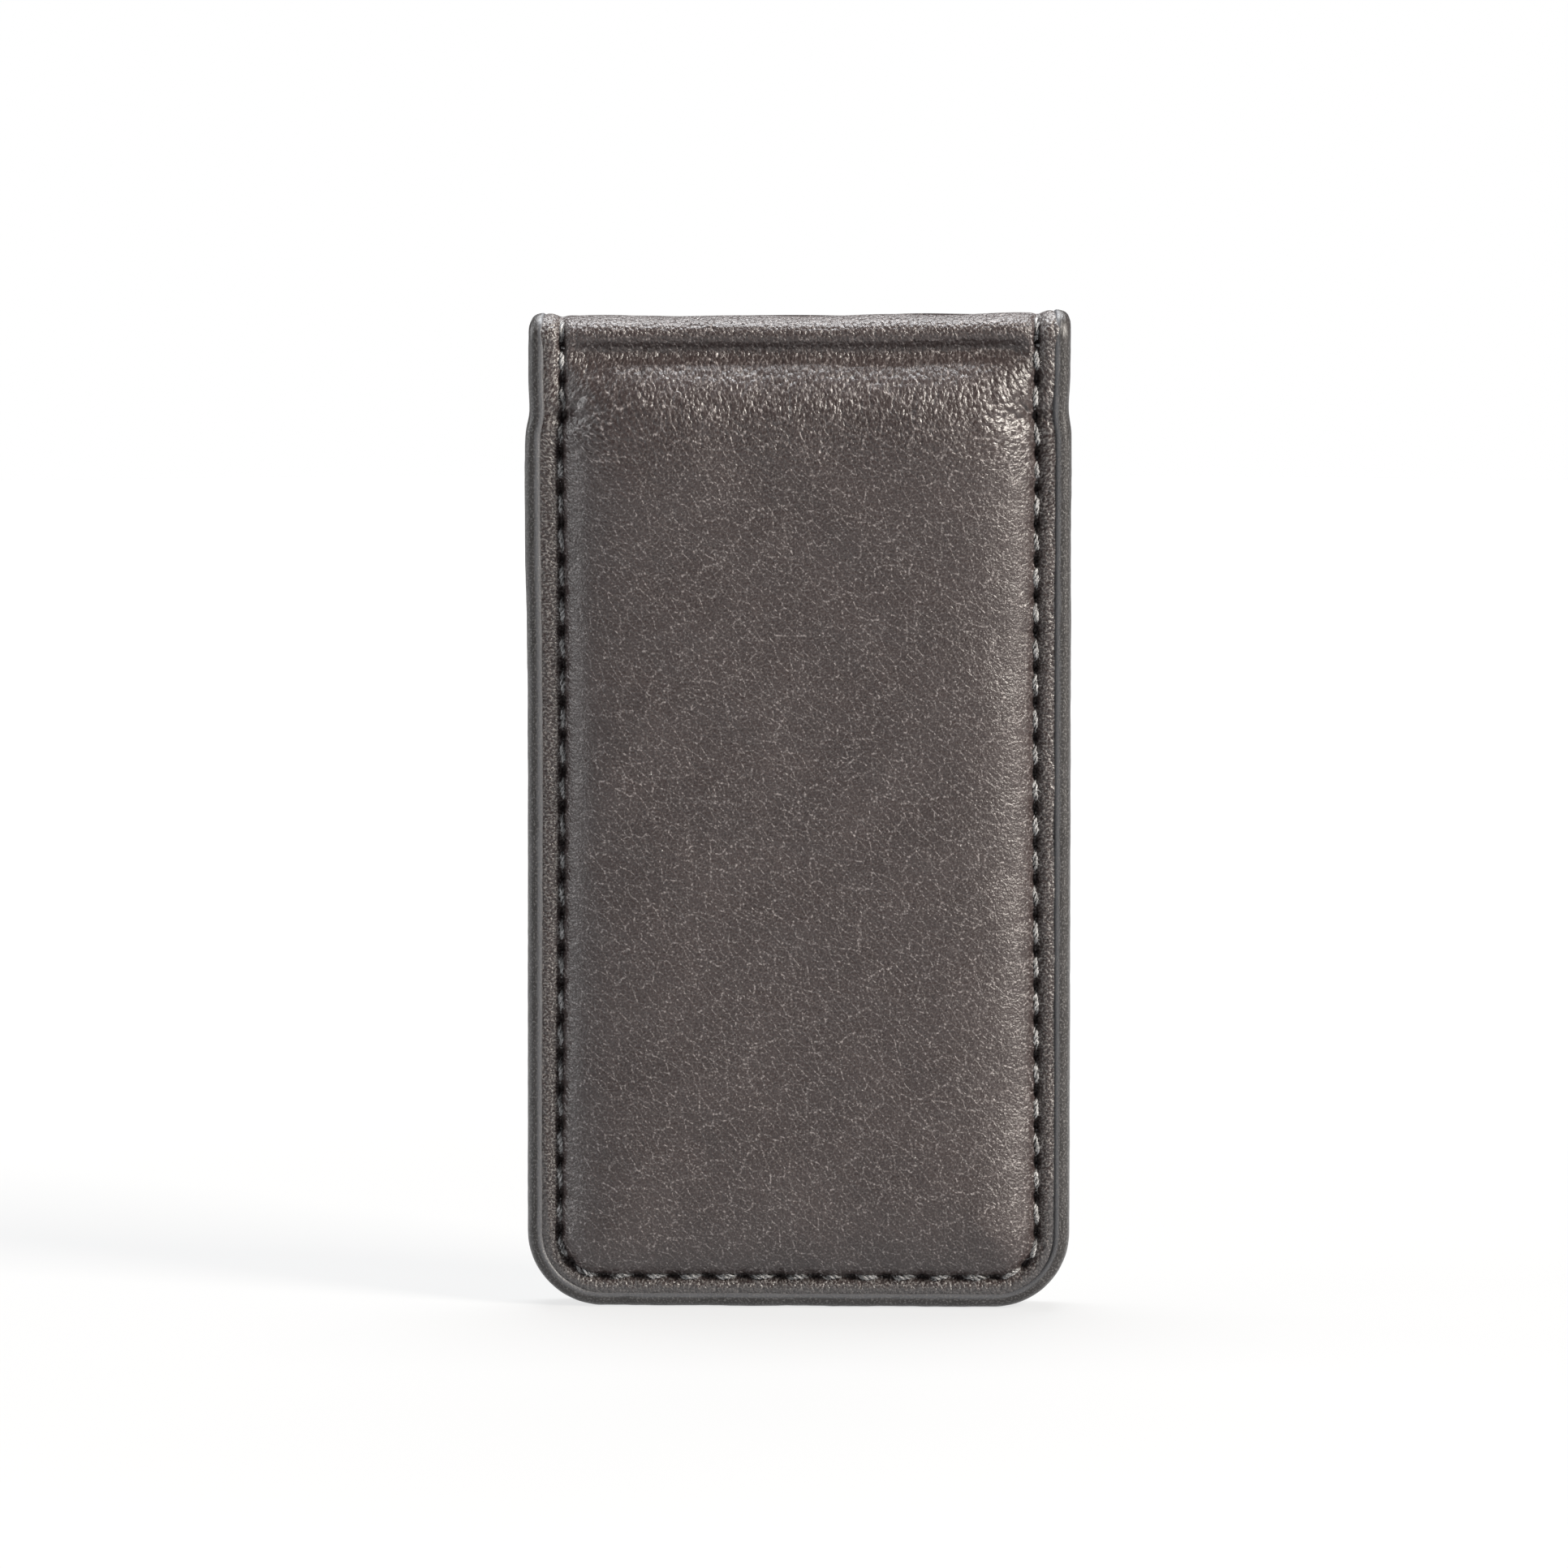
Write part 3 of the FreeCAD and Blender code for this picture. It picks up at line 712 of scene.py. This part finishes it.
def make_foam(side, seed):
    """The foam pad: a crowned cushion on the board, just inside the face leather."""
    columns = np.linspace(-1, 1, 61)
    levels = np.linspace(BOARD_HIGH, BOARD_LOW, 121)
    level = np.repeat(levels[:, None], len(columns), 1)
    radius = 2.2
    drop = np.maximum(np.maximum(BOARD_LOW + radius - level, level - BOARD_HIGH + radius), 0)
    half = BOARD_HALF - radius + np.sqrt(np.maximum(radius**2 - np.minimum(drop, radius) ** 2, 0.01))
    x = columns[None, :] * half
    face = cover_back(x, level) - 0.04 + 0.01 * waves(x, level, 1.2, seed)
    face = np.maximum(face, BOARD_FACE + 0.03)

    def back(back_x, back_level):
        return np.full_like(back_x, BOARD_FACE + 0.01)

    return shell(f"{SIDE_NAMES[side]}_foam_cushion", side, x, level, face, back, 1)


# ---- material helpers
def feed(tree, value, socket):
    """Sets a socket to a value, or links it to another socket."""
    if isinstance(value, bpy.types.NodeSocket):
        tree.links.new(value, socket)
    else:
        socket.default_value = value


def add_node(tree, kind, inputs=None, **settings):
    made = tree.nodes.new(kind)
    for name, value in settings.items():
        setattr(made, name, value)
    for name, value in (inputs or {}).items():
        feed(tree, value, made.inputs[name])
    return made


def calc(tree, operation, first, second=0.0, third=0.0):
    made = tree.nodes.new("ShaderNodeMath")
    made.operation = operation
    for socket, value in zip(made.inputs, (first, second, third)):
        feed(tree, value, socket)
    return made.outputs[0]


def spread(tree, value, from_low, from_high, to_low=0.0, to_high=1.0):
    """Maps a value smoothly from one range to another, and clamps it."""
    made = add_node(tree, "ShaderNodeMapRange", interpolation_type="SMOOTHSTEP")
    names = ("Value", "From Min", "From Max", "To Min", "To Max")
    for name, number in zip(names, (value, from_low, from_high, to_low, to_high)):
        feed(tree, number, made.inputs[name])
    return made.outputs["Result"]


def mix_colour(tree, share, first, second):
    made = add_node(tree, "ShaderNodeMix", data_type="RGBA")
    feed(tree, share, made.inputs[0])
    feed(tree, first, made.inputs[6])
    feed(tree, second, made.inputs[7])
    return made.outputs[2]


def noise(tree, place_on, scale, detail=2.0, roughness=0.5):
    inputs = {"Vector": place_on, "Scale": scale, "Detail": detail, "Roughness": roughness}
    return add_node(tree, "ShaderNodeTexNoise", inputs).outputs["Fac"]


def turned(tree, place_on, degrees, stretch):
    """Coordinates turned and squeezed, so that a texture comes out long in the direction of the turn."""
    made = add_node(tree, "ShaderNodeMapping", {"Vector": place_on}, vector_type="TEXTURE")
    made.inputs["Rotation"].default_value = (0, 0, math.radians(degrees))
    made.inputs["Scale"].default_value = (1 / stretch, 1, 1)
    return made.outputs["Vector"]


def moved(tree, place_on, amount):
    """Coordinates moved aside, for a second noise that doesn't follow the first."""
    made = add_node(tree, "ShaderNodeVectorMath", {0: place_on, 1: (amount, amount, 0.0)}, operation="ADD")
    return made.outputs[0]


def voronoi(tree, place_on, scale, feature="F1"):
    """Distance in cells from the middle of irregular cells, or from the lines between them."""
    inputs = {"Vector": place_on, "Scale": scale}
    made = add_node(tree, "ShaderNodeTexVoronoi", inputs, feature=feature, voronoi_dimensions="2D")
    return made.outputs["Distance"]


def cell_lines(tree, place_on, scale, width):
    """1 on the lines between irregular cells."""
    return spread(tree, voronoi(tree, place_on, scale, "DISTANCE_TO_EDGE"), 0.0, width, 1.0, 0.0)


def new_material(name):
    material = bpy.data.materials.new(name)
    material.use_nodes = True
    tree = material.node_tree
    return material, tree, tree.nodes["Principled BSDF"]


def grain_input(tree):
    return add_node(tree, "ShaderNodeAttribute", attribute_name="grain").outputs["Vector"]


def wobble(tree, place_on, scale, amount):
    """Coordinates shaken by noise, so that cell lines aren't straight."""
    shake = add_node(tree, "ShaderNodeTexNoise", {"Vector": place_on, "Scale": scale, "Detail": 1.0})
    middle = (0.5, 0.5, 0.5)
    centred = add_node(
        tree, "ShaderNodeVectorMath", {0: shake.outputs["Color"], 1: middle}, operation="SUBTRACT"
    )
    scaled = add_node(tree, "ShaderNodeVectorMath", {0: centred.outputs[0]}, operation="SCALE")
    scaled.inputs["Scale"].default_value = amount
    added = add_node(tree, "ShaderNodeVectorMath", {0: place_on, 1: scaled.outputs[0]}, operation="ADD")
    return added.outputs[0]


def add_bump(tree, shader, height):
    """height is in millimetres."""
    made = add_node(tree, "ShaderNodeBump", {"Height": height, "Distance": MM, "Strength": 1.0})
    tree.links.new(made.outputs["Normal"], shader.inputs["Normal"])


def cover_creases(tree, grain):
    """1 on fine dotted creases that run aslant two ways."""
    shaken = wobble(tree, grain, 1.1, 0.30)
    steep = cell_lines(tree, turned(tree, shaken, -52, 0.36), 1.5, 0.085)
    shallow = cell_lines(tree, turned(tree, shaken, -26, 0.30), 1.2, 0.07)
    patches = spread(tree, noise(tree, grain, 0.4, 3.0), 0.40, 0.60)
    creases = calc(tree, "MAXIMUM", steep, calc(tree, "MULTIPLY", shallow, patches))
    beads = spread(tree, noise(tree, grain, 3.6, 1.0), 0.40, 0.56, 0.20, 1.0)
    return calc(tree, "MULTIPLY", creases, beads)


def cover_smear(tree, grain, level, inside):
    """The share of edge paint smeared over the margin."""
    streaks = noise(tree, turned(tree, grain, 90, 0.15), 4.0, 2.0)
    low_end = spread(tree, level, 3.0, 14.0, 0.75, 0.0)
    smear = calc(tree, "MULTIPLY_ADD", inside, -1.0, calc(tree, "ADD", low_end, -1.45))
    smear = calc(tree, "MULTIPLY_ADD", streaks, 1.2, smear)
    return spread(tree, smear, 0.25, 0.80, 0.0, 0.65)


def cover_material():
    """Soft aniline calf: pebbles, dotted creases, pores and a few dust specks, with painted highlights as
    pale dots on the grain and margin.
    """
    base_dark, base_light = (0.027, 0.0192, 0.0188, 1), (0.0340, 0.0246, 0.0240, 1)
    # the pale line colour and the margin speck colour are painted highlights, and the smear colour is edge
    # paint lightened as a painted highlight
    pore_colour, glint_colour = (0.011, 0.007, 0.007, 1), (0.222, 0.201, 0.199, 1)
    highlight_colour, smear_and_highlight_colour = (0.175, 0.165, 0.160, 1), (0.060, 0.059, 0.062, 1)
    dust_colour = (0.6, 0.6, 0.58, 1)
    material, tree, shader = new_material("cover_leather")
    grain = grain_input(tree)
    place_on_strip = add_node(tree, "ShaderNodeAttribute", attribute_name="strip").outputs["Vector"]
    strip = add_node(tree, "ShaderNodeSeparateXYZ", {0: place_on_strip})
    level, inside = strip.outputs["Y"], strip.outputs["Z"]
    creases = cover_creases(tree, grain)
    smear = cover_smear(tree, grain, level, inside)
    pebbly = wobble(tree, grain, 3.0, 0.10)
    pebbles = cell_lines(tree, pebbly, 2.5, 0.16)
    from_pebble = voronoi(tree, pebbly, 3.6)
    speckle = noise(tree, grain, 6.2, 2.0, 0.6)
    pores = noise(tree, moved(tree, grain, 37.0), 6.4, 1.0, 0.5)
    mottle = spread(tree, noise(tree, grain, 0.22, 3.0), 0.3, 0.7)
    dust = spread(tree, voronoi(tree, grain, 0.06), 0.0015, 0.0030, 1.0, 0.0)

    # pale dots along the pebble lines and creases, and a few elsewhere: painted highlights that stand in for
    # glints on the grain
    glint_dots = spread(tree, speckle, 0.49, 0.63)
    lines = calc(tree, "MULTIPLY_ADD", pebbles, 0.32, 0.12)
    lines = calc(tree, "MULTIPLY_ADD", creases, 1.10, lines)
    lines = calc(tree, "MULTIPLY", lines, calc(tree, "MULTIPLY_ADD", glint_dots, 0.85, 0.15))
    colour = mix_colour(tree, mottle, base_dark, base_light)
    colour = mix_colour(tree, spread(tree, pores, 0.56, 0.70, 0.0, 0.7), colour, pore_colour)
    colour = mix_colour(tree, lines, colour, glint_colour)
    # more pale specks near the margin: painted highlights
    at_margin = spread(tree, inside, 0.2, -0.5, 0.0, 0.9)
    highlight_share = calc(tree, "MULTIPLY", spread(tree, speckle, 0.50, 0.62), at_margin)
    colour = mix_colour(tree, highlight_share, colour, highlight_colour)
    colour = mix_colour(tree, dust, colour, dust_colour)
    # edge paint smeared over the margin; its colour is also made lighter as a painted highlight on the
    # margin
    colour = mix_colour(tree, smear, colour, smear_and_highlight_colour)
    tree.links.new(colour, shader.inputs["Base Color"])

    gloss = calc(tree, "MULTIPLY_ADD", speckle, 0.20, 0.20)
    tree.links.new(gloss, shader.inputs["Roughness"])
    shader.inputs["Specular IOR Level"].default_value = 0.5

    pull = calc(tree, "MAXIMUM", spread(tree, level, 57.5, 63.5), spread(tree, inside, 1.3, -0.4))
    domes = calc(tree, "MULTIPLY", from_pebble, from_pebble)
    domes = calc(tree, "MULTIPLY", domes, calc(tree, "MULTIPLY_ADD", pull, 0.055, 0.025))
    height = calc(tree, "MULTIPLY_ADD", creases, -0.010, calc(tree, "MULTIPLY", domes, -1.0))
    height = calc(tree, "MULTIPLY_ADD", speckle, 0.056, height)
    height = calc(tree, "MULTIPLY_ADD", pores, -0.030, height)
    height = calc(tree, "MULTIPLY", height, calc(tree, "MULTIPLY_ADD", smear, -0.3, 1.0))
    height = calc(tree, "MULTIPLY_ADD", noise(tree, grain, 1.6, 2.0), 0.030, height)
    add_bump(tree, shader, height)
    return material


def lining_material():
    """Smoother split leather, matt, with a faint nap."""
    base_dark, base_light = (0.030, 0.026, 0.025, 1), (0.044, 0.038, 0.036, 1)
    material, tree, shader = new_material("lining_leather")
    grain = grain_input(tree)
    cells = cell_lines(tree, wobble(tree, grain, 2.5, 0.2), 3.4, 0.25)
    nap = noise(tree, grain, 7.0, 4.0, 0.65)
    mottle = spread(tree, noise(tree, grain, 0.3, 3.0), 0.3, 0.7)
    colour = mix_colour(tree, mottle, base_dark, base_light)
    colour = mix_colour(tree, calc(tree, "MULTIPLY", cells, 0.25), colour, (0.09, 0.08, 0.075, 1))
    tree.links.new(colour, shader.inputs["Base Color"])
    tree.links.new(calc(tree, "MULTIPLY_ADD", nap, 0.2, 0.52), shader.inputs["Roughness"])
    shader.inputs["Sheen Weight"].default_value = 0.15
    height = calc(tree, "MULTIPLY", cells, -0.012)
    height = calc(tree, "MULTIPLY_ADD", nap, 0.012, height)
    add_bump(tree, shader, height)
    return material


def paint_material():
    """Dark edge paint, smooth and slightly waxy, with a painted highlight along its ridge."""
    paint_dark, paint_light = (0.015, 0.0130, 0.0125, 1), (0.024, 0.0215, 0.0215, 1)
    highlight_colour, speck_colour = (0.080, 0.082, 0.090, 1), (0.115, 0.112, 0.112, 1)
    material, tree, shader = new_material("edge_paint")
    grain = grain_input(tree)
    cloud = spread(tree, noise(tree, grain, 0.6, 3.0), 0.35, 0.65)
    specks = noise(tree, grain, 6.0, 2.0, 0.6)
    colour = mix_colour(tree, cloud, paint_dark, paint_light)
    section = add_node(tree, "ShaderNodeAttribute", attribute_name="section").outputs["Vector"]
    offset = add_node(tree, "ShaderNodeSeparateXYZ", {0: section}).outputs["X"]
    # a lighter bluish band along the ridge, broken by streaks, is a painted highlight
    streaks = noise(tree, turned(tree, grain, 0, 0.12), 5.0, 3.0, 0.6)
    from_ridge = calc(tree, "ABSOLUTE", calc(tree, "ADD", offset, RIDGE_INSET))
    highlight_share = spread(tree, calc(tree, "MULTIPLY_ADD", streaks, -0.3, from_ridge), -0.10, 0.13, 0.9, 0.0)
    colour = mix_colour(tree, highlight_share, colour, highlight_colour)
    colour = mix_colour(tree, spread(tree, specks, 0.51, 0.64, 0.0, 0.65), colour, speck_colour)
    tree.links.new(colour, shader.inputs["Base Color"])
    tree.links.new(calc(tree, "MULTIPLY_ADD", specks, 0.20, 0.30), shader.inputs["Roughness"])
    height = calc(tree, "MULTIPLY", specks, 0.036)
    height = calc(tree, "MULTIPLY_ADD", noise(tree, grain, 1.2, 2.0), 0.02, height)
    add_bump(tree, shader, height)
    return material


def thread_material():
    """Waxed thread: fine filaments along each strand, nearly black with pale glints."""
    material, tree, shader = new_material("thread")
    grain = grain_input(tree)
    filaments = noise(tree, turned(tree, grain, 0, 0.10), 26.0, 2.0, 0.6)
    glints = spread(tree, filaments, 0.40, 0.58)
    shaded = spread(tree, noise(tree, grain, 2.2, 2.0), 0.52, 0.64)
    colour = mix_colour(tree, glints, (0.008, 0.007, 0.007, 1), (0.62, 0.62, 0.63, 1))
    colour = mix_colour(tree, shaded, colour, (0.012, 0.010, 0.010, 1))
    tree.links.new(colour, shader.inputs["Base Color"])
    shader.inputs["Roughness"].default_value = 0.30
    shader.inputs["Specular IOR Level"].default_value = 0.8
    add_bump(tree, shader, calc(tree, "MULTIPLY", filaments, 0.05))
    return material


def foam_material():
    """Fine grey foam with open cells."""
    material, tree, shader = new_material("foam")
    grain = grain_input(tree)
    cells = cell_lines(tree, grain, 3.0, 0.3)
    colour = mix_colour(tree, cells, (0.10, 0.10, 0.11, 1), (0.20, 0.20, 0.21, 1))
    tree.links.new(colour, shader.inputs["Base Color"])
    shader.inputs["Roughness"].default_value = 0.9
    add_bump(tree, shader, calc(tree, "MULTIPLY", cells, 0.05))
    return material


def object_input(tree):
    """Object coordinates in millimetres."""
    made = add_node(tree, "ShaderNodeTexCoord")
    scaled = add_node(tree, "ShaderNodeVectorMath", {0: made.outputs["Object"]}, operation="SCALE")
    scaled.inputs["Scale"].default_value = 1 / MM
    return scaled.outputs[0]


def board_material():
    """Grey-brown leatherboard with short pressed fibres."""
    material, tree, shader = new_material("fibre_board")
    where = object_input(tree)
    fibres = noise(tree, turned(tree, where, 20, 0.3), 3.0, 5.0, 0.65)
    flecks = spread(tree, noise(tree, where, 1.1, 4.0, 0.7), 0.6, 0.72)
    pale = spread(tree, fibres, 0.35, 0.65)
    colour = mix_colour(tree, pale, (0.10, 0.072, 0.05, 1), (0.20, 0.15, 0.11, 1))
    colour = mix_colour(tree, flecks, colour, (0.32, 0.27, 0.22, 1))
    tree.links.new(colour, shader.inputs["Base Color"])
    shader.inputs["Roughness"].default_value = 0.85
    add_bump(tree, shader, calc(tree, "MULTIPLY", fibres, 0.04))
    return material


def magnet_material():
    """Nickel plate with fine scratches."""
    material, tree, shader = new_material("magnet")
    where = object_input(tree)
    scratches = noise(tree, turned(tree, where, 35, 0.1), 9.0, 2.0)
    shader.inputs["Base Color"].default_value = (0.62, 0.60, 0.56, 1)
    shader.inputs["Metallic"].default_value = 1.0
    tree.links.new(calc(tree, "MULTIPLY_ADD", scratches, 0.25, 0.15), shader.inputs["Roughness"])
    add_bump(tree, shader, calc(tree, "MULTIPLY", scratches, 0.002))
    return material


# ---- putting the clip together
def bend(piece, side):
    """Bakes a strip piece's placement into its points; front and back are treated the same."""
    if side == FRONT:
        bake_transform(piece)
    else:
        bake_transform(piece)


def recolour(piece, material):
    piece.data.materials.clear()
    piece.data.materials.append(material)


def finish_piece(piece, slot, materials):
    recolour(piece, materials[slot])


def build_leathers(side, seed, materials):
    name = SIDE_NAMES[side]
    cover = make_cover(side, seed)
    finish_piece(cover, "cover_leather", materials)
    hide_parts(f"{name}_cover_leather", "fold_cover_leather")
    bend(cover, side)

    lining = make_lining(side, seed + 20)
    finish_piece(lining, "lining_leather", materials)
    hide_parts(f"{name}_lining", "fold_lining")
    bend(lining, side)


def build_edge(side, seed, materials):
    coat = make_edge_coat(side, seed + 40)
    finish_piece(coat, "edge_paint", materials)
    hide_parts(f"{SIDE_NAMES[side]}_edge_coat", *(f"fold_{hand}_edge_coat" for hand in HANDS))
    bend(coat, side)


def build_threads(side, seed, materials):
    """The needle thread, whose end is tacked down aslant at the front's open end, and the bobbin thread."""
    name = SIDE_NAMES[side]
    slant = math.radians(60)
    tack = (4.3, 1.25, math.cos(slant), math.sin(slant), 0.45)
    loose_end = [tack] if side == FRONT else []
    needle_name = f"{name}_needle_thread"
    needle = make_thread(side, needle_name, COVER_FACE - 0.11, NEEDLE_THREAD, 1, seed + 60, loose_end)
    finish_piece(needle, "thread", materials)
    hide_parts(f"{name}_cover_stitches", *(f"fold_{hand}_cover_stitches" for hand in HANDS))
    bend(needle, side)

    bobbin_name = f"{name}_bobbin_thread"
    bobbin = make_thread(side, bobbin_name, LINING_FACE + 0.22, BOBBIN_THREAD, -1, seed + 80)
    finish_piece(bobbin, "thread", materials)
    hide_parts(f"{name}_lining_stitches", *(f"fold_{hand}_lining_stitches" for hand in HANDS))
    bend(bobbin, side)


def build_padding(side, seed, materials):
    """The foam cushion, and the board and magnets, which are the frame's own shapes."""
    name = SIDE_NAMES[side]
    foam = make_foam(side, seed + 100)
    finish_piece(foam, "foam", materials)
    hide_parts(f"{name}_foam_pad")
    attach(foam, f"{name}_flap")

    recolour(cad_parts[f"{name}_stiffener_board"], materials["fibre_board"])
    for hand in HANDS:
        recolour(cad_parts[f"{name}_{hand}_magnet"], materials["magnet"])


def build_side(side, materials):
    seed = SEEDS[side]
    build_leathers(side, seed, materials)
    build_edge(side, seed, materials)
    build_threads(side, seed, materials)
    build_padding(side, seed, materials)


# ---- the stage
ROOM_LIGHT = 0.12
TABLE_RADIUS = 0.6


def make_floor():
    """A white table under the clip, with a faint unevenness, that brightens into the white room behind."""
    material, tree, shader = new_material("white_table")
    where = add_node(tree, "ShaderNodeTexCoord").outputs["Object"]
    cloud = noise(tree, where, 9.0, 2.0)
    colour = mix_colour(tree, cloud, (0.085, 0.085, 0.085, 1), (0.092, 0.092, 0.092, 1))
    tree.links.new(colour, shader.inputs["Base Color"])
    shader.inputs["Roughness"].default_value = 0.45
    shader.inputs["Specular IOR Level"].default_value = 0.0
    shader.inputs["Emission Color"].default_value = (1, 1, 1, 1)
    reach = add_node(tree, "ShaderNodeVectorMath", {0: where}, operation="LENGTH").outputs["Value"]
    glow = spread(tree, reach, 0.06, 0.35, 0.735, 1.0)
    tree.links.new(glow, shader.inputs["Emission Strength"])
    turn = np.linspace(0, 2 * math.pi, 96, endpoint=False)
    points = TABLE_RADIUS * np.column_stack([np.cos(turn), np.sin(turn), np.zeros(96)])
    floor = make_object("white_table", points, [list(range(96))])
    floor.data.materials.append(material)


def add_light(name, azimuth, elevation, distance, width, height, power, colour=(1, 1, 1)):
    """A softbox that faces the clip. Azimuth is 0 in front of it and 90 on its right."""
    target = Vector((0, 0, 0.035))
    turn, rise = math.radians(azimuth), math.radians(elevation)
    way = Vector((math.sin(turn) * math.cos(rise), -math.cos(turn) * math.cos(rise), math.sin(rise)))
    data = bpy.data.lights.new(name, "AREA")
    data.shape = "RECTANGLE"
    data.size = width
    data.size_y = height
    data.energy = power
    data.color = colour
    light = bpy.data.objects.new(name, data)
    light.location = target + way * distance
    light.rotation_euler = way.to_track_quat("Z", "Y").to_euler()
    bpy.context.scene.collection.objects.link(light)


def light_scene():
    """A white room that the camera sees bright but that lights little, and four softboxes."""
    world = bpy.data.worlds.new("studio")
    world.use_nodes = True
    tree = world.node_tree
    background = tree.nodes["Background"]
    background.inputs["Color"].default_value = (1, 1, 1, 1)
    seen = add_node(tree, "ShaderNodeLightPath").outputs["Is Camera Ray"]
    tree.links.new(spread(tree, seen, 0, 1, ROOM_LIGHT, 1.0), background.inputs["Strength"])
    bpy.context.scene.world = world
    add_light("key", 62, 28, 1.5, 0.45, 0.8, 52.0, (1.0, 0.94, 0.86))
    add_light("top", 180, 78, 1.5, 1.0, 0.5, 35.0, (0.96, 0.98, 1.0))
    add_light("back", 180, 48, 1.8, 1.2, 0.6, 12.0)
    add_light("left_fill", -93, 22, 1.5, 1.2, 1.2, 22.0)


def add_camera():
    """The photographer's view: a long lens, a little above the clip and a little to its right."""
    centre = (cad_box[0] + cad_box[1]) / 2
    azimuth, elevation, distance = math.radians(1.8), math.radians(7.0), 0.87
    way = Vector((
        math.sin(azimuth) * math.cos(elevation),
        -math.cos(azimuth) * math.cos(elevation),
        math.sin(elevation),
    ))
    right = Vector((math.cos(azimuth), math.sin(azimuth), 0))
    aim_left, aim_up = 0.00103, 0.00195
    aim = centre - right * aim_left + Vector((0, 0, aim_up))
    data = bpy.data.cameras.new("camera")
    data.lens = 285
    data.sensor_width = 36
    data.clip_start = 0.01
    camera = bpy.data.objects.new("camera", data)
    camera.location = aim + way * distance
    camera.rotation_euler = way.to_track_quat("Z", "Y").to_euler()
    bpy.context.scene.collection.objects.link(camera)
    bpy.context.scene.camera = camera


add_camera()
light_scene()
make_floor()
MATERIALS = {
    "cover_leather": cover_material(),
    "lining_leather": lining_material(),
    "edge_paint": paint_material(),
    "thread": thread_material(),
    "foam": foam_material(),
    "fibre_board": board_material(),
    "magnet": magnet_material(),
}
build_side(FRONT, MATERIALS)
build_side(BACK, MATERIALS)
bpy.context.scene.view_settings.view_transform = "Standard"
